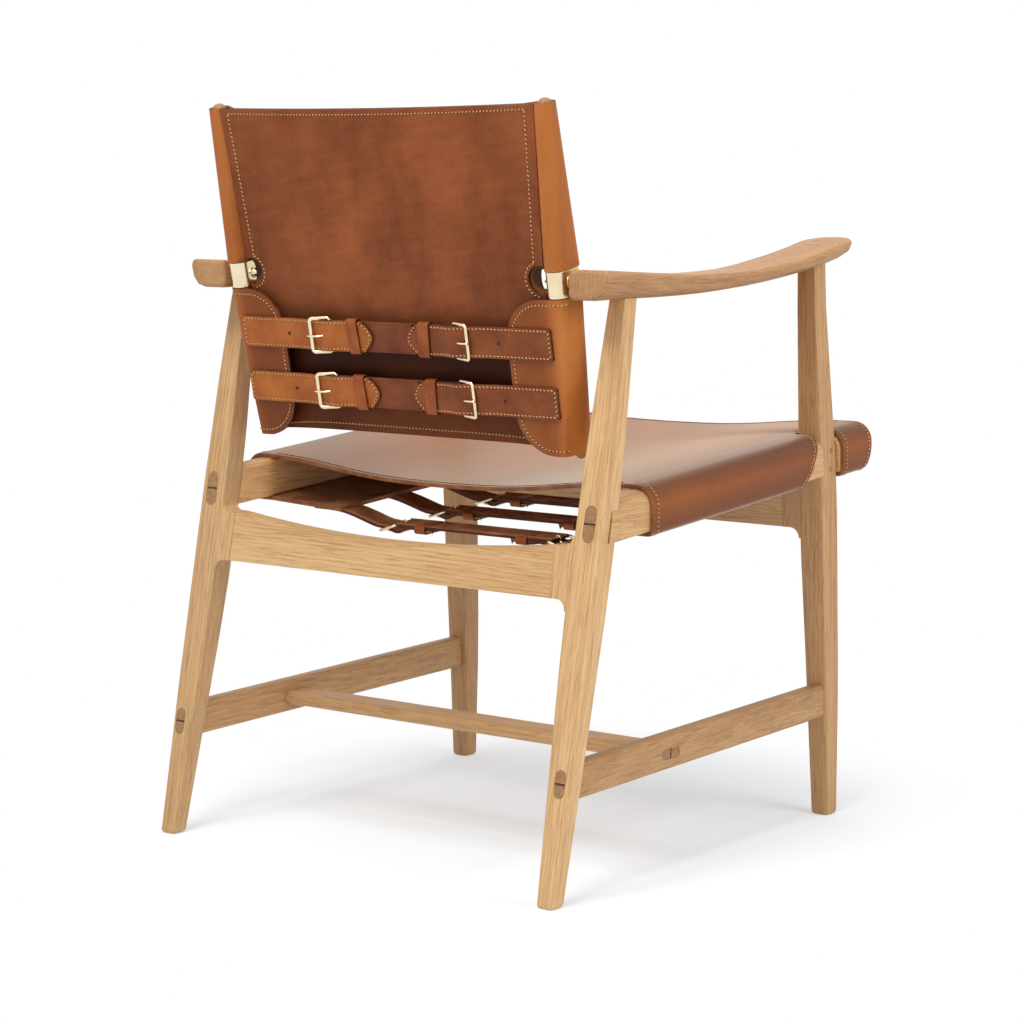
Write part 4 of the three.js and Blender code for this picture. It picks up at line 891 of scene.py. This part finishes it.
# ---- Straps and buckles
# Each row is a darker connector strap with two keepers and two brass buckles; lighter billets, stitched along
# their edges, run through the buckles and are pulled tight by them.
strap_half = 0.0175
strap_edge = 0.0006
strap_tip = 0.088
tip_point = 0.0165
tip_blend = 0.03
corner_round = 0.0035
corner_blend = 0.006
crease_deep = 0.0005
crease_rows = [-1, -0.985, -0.95, -0.86, -0.84, -0.82, -0.8, -0.65, -0.45, -0.22, 0]
billet_level = 0.0048
billet_rise = 0.0035
billet_turns = [(-0.3, -0.25), (0, -0.03), (0.35, 0.2), (0.67, 0.6), (0.91, 1), (1.09, 1), (1.4, 0.4),
                (1.7, 0.04), (1.95, 0)]
bar_radius = 0.002
bar_level = 0.009
buckle_long = 0.023
buckle_corner = 0.0035
heel_level = 0.0015
prong_top = 0.0125
prong_radius = 0.0014
prong_eye = 0.0031
prong_turns = [(0.94, 0.27), (0.77, 0.44), (0.57, 0.76), (0.38, 0.97), (0.1, 1), (-0.13, 0.98)]
keeper_place = 0.0615
keeper_wide = 0.015
keeper_low, keeper_high = 0.0004, 0.008
keeper_room = 0.0017
keeper_corner = 0.0028
keeper_wall = 0.0021
keeper_shares = [-1, -0.96, -0.66, -0.62, -0.58, 0, 0.58, 0.62, 0.66, 0.96, 1]
hole_radius = 0.0021
hole_lift = 0.00164
billet_inset = 0.0026
tip_clear = 0.0155
tip_inset = 0.0035
end_inset = 0.003
back_bar = 0.1125
back_lean = 0.06
back_holes = [(0.0385, 0.0018), (0.0175, 0.0019), (-0.035, billet_level)]
back_rows = {"upper": -0.0635, "lower": -0.128}
back_strap_start = 0.222
flap_depths = (0.022393, 0.024678)
flap_lean = (flap_depths[1] - flap_depths[0]) / (wrap_neck - wrap_bottom)

strap_leathers = {
    "left": leather("strap_leather_left", [(144, 74, 30), (165, 91, 39), (182, 108, 51)], 22, 0.42),
    "right": leather("strap_leather_right", [(106, 53, 27), (126, 66, 34), (146, 82, 43)], 22, 0.42),
}
connector_leather = leather("connector_leather", [(96, 46, 26), (118, 60, 34), (134, 72, 42)], 22, 0.44)
keeper_leather = leather("keeper_leather", [(120, 60, 28), (148, 78, 38), (166, 94, 50)], 30, 0.44)


def smooth_path(points, step=0.002):
    """A smooth line through chosen points, nearly evenly divided."""
    points = [Vector(p) for p in points]
    line = []
    for i, (a, b) in enumerate(zip(points, points[1:])):
        reach = (b - a).length / 3
        leave = a + (b - points[max(i - 1, 0)]).normalized() * reach
        arrive = b - (points[min(i + 2, len(points) - 1)] - a).normalized() * reach
        count = max(int((b - a).length / step), 2)
        for t in spaced(0, 1, count + 1)[:-1]:
            line.append(a * (1 - t) ** 3 + leave * 3 * t * (1 - t) ** 2
                        + arrive * 3 * t * t * (1 - t) + b * t ** 3)
    return line + [points[-1]]


def strap_normal(line, i):
    way = (line[min(i + 1, len(line) - 1)] - line[max(i - 1, 0)]).normalized()
    normal = Vector((-way.y, way.x))
    return normal if normal.y > 0 else -normal


def tip_lean(share):
    """How far a pointed end falls back at a share of the strap's half width."""
    return tip_point * (0.6 * share ** 1.4 + 0.4 * (1 - math.sqrt(max(1 - share * share, 0))))


def strap_skin(bm, line, pointed=False, rounded=False):
    """A strap on its centre line (along, out), creased near its edges and softly crowned."""
    shares = crease_rows + [-share for share in reversed(crease_rows[:-1])]
    start, tip = line[0].x, line[-1].x
    table = []
    for i, place in enumerate(line):
        normal = strap_normal(line, i)
        column = []
        for z in [share * strap_half for share in shares]:
            share = abs(z) / strap_half
            sink = crease_deep if 0.83 < share < 0.85 else 0.00012 * share ** 4
            u = place.x
            if pointed and abs(place.x - tip) < tip_blend:
                u += tip_lean(share) * (1 - abs(place.x - tip) / tip_blend)
            if rounded and abs(u - start) < corner_blend and share > 0.8:
                round_in = corner_round * (1 - math.sqrt(max(1 - ((share - 0.8) / 0.2) ** 2, 0)))
                u -= round_in * (1 - abs(u - start) / corner_blend)
            column.append((u - normal.x * sink, place.y - normal.y * sink, z))
        table.append(column)
    fill(bm, table)
    bmesh.ops.recalc_face_normals(bm, faces=bm.faces)


def rod_along(bm, places, radius, sides, closed=False, flat=1.0, up=Vector((0, 0, 1))):
    """A round or flattened bar along a line of places; a closed one is a ring."""
    rings = []
    last = len(places) - 1
    for i, place in enumerate(places):
        before = places[i - 1] if closed or i else place
        after = places[(i + 1) % len(places)] if closed or i < last else place
        way = (after - before).normalized()
        side = way.cross(up).normalized()
        lift = side.cross(way).normalized()
        end = not closed and i in (0, last)
        ring = bmesh.ops.create_circle(bm, cap_ends=end, radius=radius, segments=sides)["verts"]
        for v in ring:
            v.co = place + side * v.co.x + lift * v.co.y * flat
        rings.append({e for v in ring for e in v.link_edges})
    if closed:
        rings.append(rings[0])
    for first, second in zip(rings, rings[1:]):
        bmesh.ops.bridge_loops(bm, edges=list(first | second))
    bmesh.ops.recalc_face_normals(bm, faces=bm.faces)


def rounded_box(low, high, half, corner, step):
    """The outline of a box from low to high and half to each side, with rounded corners."""
    outline = []
    for across, up, first in ((high - corner, half - corner, 0), (low + corner, half - corner, 90),
                              (low + corner, corner - half, 180), (high - corner, corner - half, 270)):
        outline += arc(across, up, corner, range(first, first + 91, step))
    return outline


def buckle_shape(bm, bar):
    """A cast frame leaning up from the heel bar, with rounded corners."""
    rise = bar_level - heel_level
    slope = math.hypot(buckle_long, rise)
    flat = rounded_box(0, slope, strap_half + bar_radius * 0.92, buckle_corner, 15)
    places = []
    for d, z in flat:
        level = mixed(heel_level, bar_level, d / slope)
        places.append(Vector((bar - buckle_long * (1 - d / slope), level, z)))
    face = Vector((-rise, buckle_long, 0)).normalized()
    rod_along(bm, places, bar_radius * 1.12, 12, closed=True, up=face, flat=0.78)


def prong_shape(bm, bar):
    """A bent prong over the front bar, and its eye round the heel bar."""
    line = [(bar - buckle_long * a, mixed(heel_level, prong_top, up), 0) for a, up in prong_turns]
    rod_along(bm, smooth_path(line), prong_radius, 10, flat=0.86)
    eye = [Vector((*p, 0)) for p in arc(bar - buckle_long, heel_level, prong_eye, range(0, 360, 20))]
    rod_along(bm, eye, 0.00085, 8, closed=True)


def billet_line(bar, start):
    rows = [(bar - buckle_long * a, billet_level + billet_rise * up) for a, up in billet_turns]
    return smooth_path(start + rows + [(bar - strap_tip, billet_level)])


def billet_stitches(bm, line):
    """Along both edges and round both ends of a billet; the part inside the keeper and buckle shows too."""
    start, tip = line[0].x, line[-1].x
    wide = strap_half - billet_inset
    up = Vector((0, 1))
    wall = leather_wall / 2
    runs = []
    for z in (wide, -wide):
        shown = [i for i, p in enumerate(line) if abs(p.x - tip) >= tip_clear and p.x <= start - end_inset]
        runs.append([(line[i] + strap_normal(line, i) * wall, strap_normal(line, i), z) for i in shown])
    runs.append([(Vector((tip + tip_inset + tip_lean(abs(z) / strap_half), billet_level + wall)), up, z)
                 for z in spaced(-wide, wide, 17)])
    runs.append([(Vector((start - end_inset, line[0].y + wall)), up, z) for z in spaced(-wide, wide, 5)])
    for run in runs:
        stitch(bm, [(Vector((p.x, p.y + thread_lift, z)), Vector((n.x, n.y, 0))) for p, n, z in run])


def punched_holes(bm):
    """Two spare holes outside the buckle and one beyond it, each sunk a little."""
    for beyond_bar, level in back_holes:
        made = bmesh.ops.create_circle(bm, cap_ends=True, radius=hole_radius, segments=14)["verts"]
        for v in made:
            v.co = (back_bar + beyond_bar + v.co.x, level + hole_lift, v.co.y)
        faces = list({f for v in made for f in v.link_faces})
        sunk = bmesh.ops.inset_region(bm, faces=faces, thickness=0.0004, depth=-0.0002)
        bmesh.ops.recalc_face_normals(bm, faces=faces + sunk["faces"])


def keeper_skin(bm, bar, lean):
    """A loop of thin leather round the strap, creased near both of its edges."""
    outline = rounded_box(keeper_low, keeper_high, strap_half + keeper_room, keeper_corner, 18)
    table = []
    for w, z in outline + outline[:1]:
        out = Vector((w - (keeper_low + keeper_high) / 2, z)).normalized()
        column = []
        for share in keeper_shares:
            sink = 0.0003 if 0.6 < abs(share) < 0.64 else 0
            u = bar - keeper_place + share * keeper_wide / 2 + lean * z
            column.append((u, w - out.x * sink, z - out.y * sink))
        table.append(column)
    fill(bm, table)
    joined(bm, 0.00002)


def connector_row(place, row, bar, keeper_lean, hide, body, lay):
    """A row's connector strap, from heel bar to heel bar, with its two keepers."""
    heel = bar - buckle_long
    half = [(0.03, heel_level), (heel - 0.004, heel_level), (heel + 0.0028, heel_level + 0.0001)]
    line = smooth_path([(-u, level) for u, level in reversed(half)] + half, 0.003)
    leather_piece(f"{place}_connector_strap_{row}", shaped(strap_skin, line, lay=lay), hide, body,
                  f"{place}_connector_{row}", slot="connector_leather", edge=strap_edge)
    for side in sides:
        keeper = shaped(keeper_skin, bar, keeper_lean, lay=lay, flip=side == "right")
        leather_piece(f"{place}_keeper_{row}_{side}", keeper, keeper_leather, body, slot="connector_leather",
                      wall=keeper_wall, edge=0.0004)


billet_start = [(u, 0.0018) for u in (back_strap_start, (back_strap_start + flap_inner) / 2, flap_inner,
                                      (flap_inner + back_bar) / 2)]
line = billet_line(back_bar, billet_start)
for row, along in back_rows.items():
    behind = mixed(*flap_depths, (-along - wrap_neck) / (wrap_bottom - wrap_neck))
    lay = upright @ Matrix.Translation((0, behind, along)) @ Matrix.Rotation(-math.atan(flap_lean), 4, "X")
    connector_row("back", row, back_bar, back_lean, connector_leather, "back", lay)
    for side in sides:
        end = f"{row}_{side}"
        put = {"lay": lay, "flip": side == "right"}
        strap = shaped(strap_skin, line, pointed=True, rounded=True, **put)
        leather_piece(f"back_strap_{end}", strap, strap_leathers[side], "back", f"back_billet_{end}",
                      slot="strap_leather", edge=strap_edge)
        stitching(f"back_strap_stitching_{end}", shaped(billet_stitches, line, **put), "back")
        # Each punched hole is a sunk disc of painted shadow.
        holes = shaped(punched_holes, **put)
        piece(f"back_strap_holes_{end}", holes, [painted_hole_shadow], "back", slot="strap_leather")
        for part, shape in (("buckle", buckle_shape), ("prong", prong_shape)):
            made = shaped(shape, back_bar, **put)
            brass_piece(f"brass_{part}_{end}", made, "back", f"back_{part}_{end}")

# ---- Seat sling
# Two layers of saddle leather laid over the side rails, slit for the front legs and folded under, where flaps
# hold the strap rows. The top is polished by use and mirrors the pale room at a low angle.
model_shift = 0.051114
seat_rear = 0.094
seat_front = 0.363
seat_layer = 0.0024
seat_sag = 0.018
rail_inner = 0.256
rail_tall = 0.045
rail_rise = math.tan(math.radians(4.5))
rail_under = 0.3768
tenon_back = 0.1792996
crown_end = 0.259
crown_level = 0.0478
side_turn = (0.274, 0.0208)
under_turn = (0.289, 0.0058)
under_level = -0.0028
leg_side = 0.25383
leg_rear = 0.25865
nose_rear = 0.299
nose_flap = 0.225
nose_corner = 0.027
nose_low = 0.0217
opening_back = 0.062
opening_inner = rail_inner + 0.012
flap_front = 0.200
flap_front_inner = 0.150
free_edges = {"left": 0.150, "right": 0.195}
slit_y = -0.2772
slit_middle = 0.2468
slit_half = (0.0085, 0.0016)
seam_in = 0.0065
sag_along = [(0, 1), (0.3, 1.06), (0.6, 1), (1, 0.82)]
sag_across = [(0, 1), (0.18, 0.965), (0.35, 0.87), (0.53, 0.64), (0.7, 0.34), (0.86, 0.11), (1, 0)]
opening_rows = [(1.18, 0), (1, 0.12), (0.67, 0.32), (0.22, 0.5), (0, 0.72), (-0.18, 1)]
flap_rows = [(0, 1), (0.15, 0.55), (0.4, 0.22), (0.7, 0.06), (1, 0)]
droop_rows = [(0, 0.0003), (0.5, 0.003), (1, 0.0055)]
side_painted_shading = [(0.46, 0.55), (0.64, 0.75), (0.76, 1), (1, 0.7)]
side_painted_tint = (0.72, 0.53, 0.2)

seat_tans = [(142, 78, 36), (158, 92, 46), (172, 106, 58)]
seat_leather = leather("seat_leather", seat_tans, 9, 0.44, 0.00003, (1, 0.5, 1))
tree = seat_leather.node_tree
shader = tree.nodes["Principled BSDF"]
shader.inputs["Sheen Weight"].default_value = 0.8
shader.inputs["Sheen Roughness"].default_value = 0.35
shader.inputs["Sheen Tint"].default_value = (0.99, 0.94, 0.78, 1)
out, behind, up, _ = place_of(tree)
# The seat's sides over the rails are painted darker and more orange than its top, which is the same leather:
# painted shade below the crown, a painted highlight along the side's fold and painted shade low down.
over_edge = part_of(tree, sum_of(tree, (out, 1), (up, -1), (behind, -0.0787)), -0.195, -0.105)
side_stops = [(at, [level * share for share in side_painted_tint]) for at, level in side_painted_shading]
toned(seat_leather, over_edge, (0, 1), *side_stops)
seat_inside = leather("seat_flesh_side", [(112, 70, 44), (146, 98, 64), (172, 122, 84)], 40, 0.75, 0.00012)
layer_edge = leather("seat_layer_edge", [(120, 74, 44), (154, 102, 66), (176, 122, 84)], 60, 0.5)


def through(rows, at):
    """A smooth value through a table of (place, value) rows."""
    last = len(rows) - 1
    i = 0
    while i < last - 1 and at > rows[i + 1][0]:
        i += 1

    def slope(j):
        before, after = rows[max(j - 1, 0)], rows[min(j + 1, last)]
        return (after[1] - before[1]) / (after[0] - before[0])

    span = rows[i + 1][0] - rows[i][0]
    t = (at - rows[i][0]) / span
    ease = t * t * (3 - 2 * t)
    bend = slope(i) * t * (1 - t) ** 2 - slope(i + 1) * t * t * (1 - t)
    return mixed(rows[i][1], rows[i + 1][1], ease) + span * bend


def between(rows, at):
    """A straight-line value through a table of (place, value) rows, either way up."""
    rows = sorted(rows)
    at = min(max(at, rows[0][0]), rows[-1][0])
    for (a, first), (b, second) in zip(rows, rows[1:]):
        if at <= b:
            return mixed(first, second, (at - a) / (b - a))


def rail_underside(y):
    return rail_under + rail_rise * (tenon_back - y)


def over_rail(free_edge):
    """Across and up from the rail's underside: off the crown, down the side and in to the free edge."""
    turn_x, turn_radius = side_turn
    under_x, under_radius = under_turn
    points = [(leg_side, None), (0.2565, None)]
    points += [(x, crown_level) for x in (crown_end, 0.2665, turn_x)]
    points += arc(turn_x, crown_level - turn_radius, turn_radius, range(81, -1, -9))
    points += [(turn_x + turn_radius, h) for h in (0.021, 0.015, 0.009)]
    points += arc(under_x, under_level + under_radius, under_radius, range(0, -91, -15))
    points += list(zip(spaced(under_x, rail_inner, 5), spaced(under_level, under_level - 0.0003, 5)))[1:]
    count = 12 if free_edge < nose_flap else 4
    for share in spaced(0, 1, count + 1)[1:]:
        points.append((mixed(rail_inner, free_edge, share), under_level - between(droop_rows, share)))
    return points


def sling_top(x, y):
    share = (seat_rear - y) / (seat_rear + seat_front)
    sag = seat_sag * through(sag_along, share) * through(sag_across, min(abs(x) / crown_end, 1))
    return crown_level - sag


def height_at(x, y, h):
    """The height on the path over the rail, which follows the sling's top where it has none of its own."""
    return sling_top(x, y) if h is None else h


def seat_place(x, h, y):
    return Vector((x, y + model_shift, rail_underside(y) + h))


def way_on(path, i, up):
    """The direction of the path over the rail at one of its points."""
    before, after = path[max(i - 1, 0)], path[min(i + 1, len(path) - 1)]
    return Vector((after[0] - before[0], (after[1] or up) - (before[1] or up))).normalized()


def opening_edge(x, h, free_edge):
    """Where the sling ends behind the leg's opening, further back the lower it is."""
    side = opening_back * between(opening_rows, h / rail_tall) - leg_rear
    if h > -0.0027:
        return side
    share = between(flap_rows, (x - free_edge) / (opening_inner - free_edge))
    inner = -mixed(flap_front, flap_front_inner, share)
    return max(side, inner) if x > opening_inner else inner


def nose_edge(h):
    """Where the nose ends in front, rounded off below."""
    low = 0 if h is None else max(nose_low - h, 0)
    return -seat_front + nose_corner - math.sqrt(max(nose_corner ** 2 - low ** 2, 0))


rear_rows = spaced(seat_rear, -leg_rear, 45)
leg_rows = spaced(-leg_rear, -nose_rear, 7)
nose_rows = spaced(-nose_rear, -seat_front, 15)
top_rows = rear_rows + leg_rows[1:] + nose_rows[1:]


def seat_sheet(bm, drop, short=0.0):
    """The whole sling; drop moves it in along its thickness, and short draws in its cut edges."""
    fill(bm, [[seat_place(x, sling_top(x, y) - drop, min(y, seat_rear - short)) for y in top_rows]
              for x in spaced(-leg_side, leg_side, 45)])
    for side, way in sides.items():
        for rows, free_edge in ((rear_rows, free_edges[side]), (nose_rows, nose_flap)):
            path = over_rail(free_edge)
            table = []
            for i, (x, h) in enumerate(path):
                places = rows
                if rows is rear_rows:
                    edge = -leg_rear
                    if i:
                        edge = opening_edge(x, crown_level if h is None else h, free_edge) + short
                    places = spaced(seat_rear - short, edge, len(rows))
                elif i:
                    places = spaced(-nose_rear - short, nose_edge(h) + short, len(rows))
                column = []
                for y in places:
                    up = height_at(x, y, h)
                    step = way_on(path, i, up)
                    inward = Vector((0, -1)) if h is None else Vector((step.y, -step.x))
                    column.append(seat_place(way * (x + inward.x * drop), up + inward.y * drop, y))
                table.append(column)
            fill(bm, table)
    joined(bm, 0.00005)


bm = shaped(seat_sheet, -seat_layer / 2 - 0.00005)
top_area = area_of(bm)
top_sheet = leather_piece("seat_sling_top", bm, seat_leather, "frame", "seat_sling", wall=seat_layer,
                          rim=layer_edge)
bm = shaped(seat_sheet, seat_layer / 2 + 0.00005, 0.0012)
inside_area = area_of(bm)
under_sheet = leather_piece("seat_sling_inside", bm, seat_inside, "frame", wall=seat_layer, rim=layer_edge)


def sling_line(way, path, places):
    """A line on the sling's outer side; places give (index along the path, y)."""
    points = []
    for i, y in places:
        x, h = path[i]
        up = height_at(x, y, h)
        step = way_on(path, i, up)
        out = Vector((-step.y, step.x)) * (seat_layer + 0.0001)
        points.append((seat_place(way * (x + out.x), up + out.y, y), Vector((way * -step.y, 0, step.x))))
    return points


def on_seat(x, y):
    return seat_place(x, sling_top(x, y) + 0.0025, y), Vector((0, 0, 1))


def seat_stitches(bm):
    """Round every free edge of the sling and the slits' ends, each slit a dark patch of painted shadow; the
    rows along the front and rear edges are painted shadow all through.
    """
    for side, way in sides.items():
        free = free_edges[side]
        path = over_rail(free)
        opening = [(i, opening_edge(*path[i], free) + seam_in) for i in range(4, 24)]
        stitch(bm, sling_line(way, path, [(i, seat_rear - 0.0085) for i in range(3, 27)]))
        stitch(bm, sling_line(way, path, opening))
        nose = over_rail(nose_flap)
        stitch(bm, sling_line(way, nose, [(i, -nose_rear - seam_in) for i in range(3, 24)]))
        stitch(bm, sling_line(way, nose, [(i, nose_edge(nose[i][1]) + 0.006) for i in range(2, 24)]))
        diamond = ((0.2525, slit_y + 0.008), (0.2395, slit_y), (0.2525, slit_y - 0.008))
        stitch(bm, [on_seat(way * x, y) for x, y in diamond])
        # Each slit is a dark patch of painted shadow on the seat's top.
        slit = bmesh.ops.create_circle(bm, cap_ends=True, radius=1, segments=10)["verts"]
        for v in slit:
            place, up = on_seat(way * (slit_middle + v.co.x * slit_half[0]), slit_y + v.co.y * slit_half[1])
            v.co = place + up * 0.00002
        darkened(slit)
    # Painted shadow: the stitch rows along the front and rear edges are dark all through.
    sewn = len(bm.verts)
    for y in (-seat_front + 0.006, seat_rear - 0.0055):
        stitch(bm, [on_seat(x, y) for x in spaced(-leg_side, leg_side, 61)])
    bm.verts.ensure_lookup_table()
    darkened(bm.verts[sewn:])


seat_thread = stitching("seat_stitching", shaped(seat_stitches), "frame")

# ---- Strap rows under the seat
# Three rows like the ones behind the back, with their flesh side out, pulling the two flaps together. Their
# billets are sewn to the flaps and lie in shallow waves.
seat_row_x = -0.040
seat_bar = 0.134
seat_lean = 0.05
seat_row_drop = 0.021
seat_row_places = {"rear": 0.070, "middle": -0.020, "front": -0.110}
sewn_long = 0.045
sewn_level = 0.0066 - seat_row_drop
wave_tall = 0.0016
wave_long = 0.0068

harness_leather = leather("harness_leather", [(116, 70, 44), (154, 100, 66), (184, 130, 90)], 34, 0.6, 0.0001)


def seat_billet(way, free):
    """Centre line of a billet, from the flap that it is sewn to through the buckle to its tip."""
    edge = free - way * seat_row_x
    sewn_rise = 0.0055 * sewn_long / (rail_inner - free)
    level = sewn_level + 0.0055
    line = billet_line(seat_bar, [(edge + sewn_long, level - sewn_rise), (edge, level)])
    for p in line:
        slack = max(min((seat_bar - 0.012 - p.x) / 0.02, 1), 0)
        p.y += slack * wave_tall * math.sin((p.x - way * 0.013) / wave_long)
    return line


def seat_buckle(bm):
    buckle_shape(bm, seat_bar)
    prong_shape(bm, seat_bar)


for row, y in seat_row_places.items():
    lay = Matrix.Translation((seat_row_x, y + model_shift, rail_underside(y) - seat_row_drop))
    lay = lay @ Matrix.Rotation(-quarter - math.atan(rail_rise), 4, "X")
    connector_row("seat", row, seat_bar, seat_lean, harness_leather, "frame", lay)
    for side, way in sides.items():
        end = f"{row}_{side}"
        put = {"lay": lay, "flip": side == "right"}
        strap = shaped(strap_skin, seat_billet(way, free_edges[side]), pointed=True, **put)
        leather_piece(f"seat_strap_{end}", strap, harness_leather, "frame", slot="strap_leather",
                      edge=strap_edge)
        brass_piece(f"brass_seat_buckle_{end}", shaped(seat_buckle, **put), "frame", f"seat_buckle_{end}")
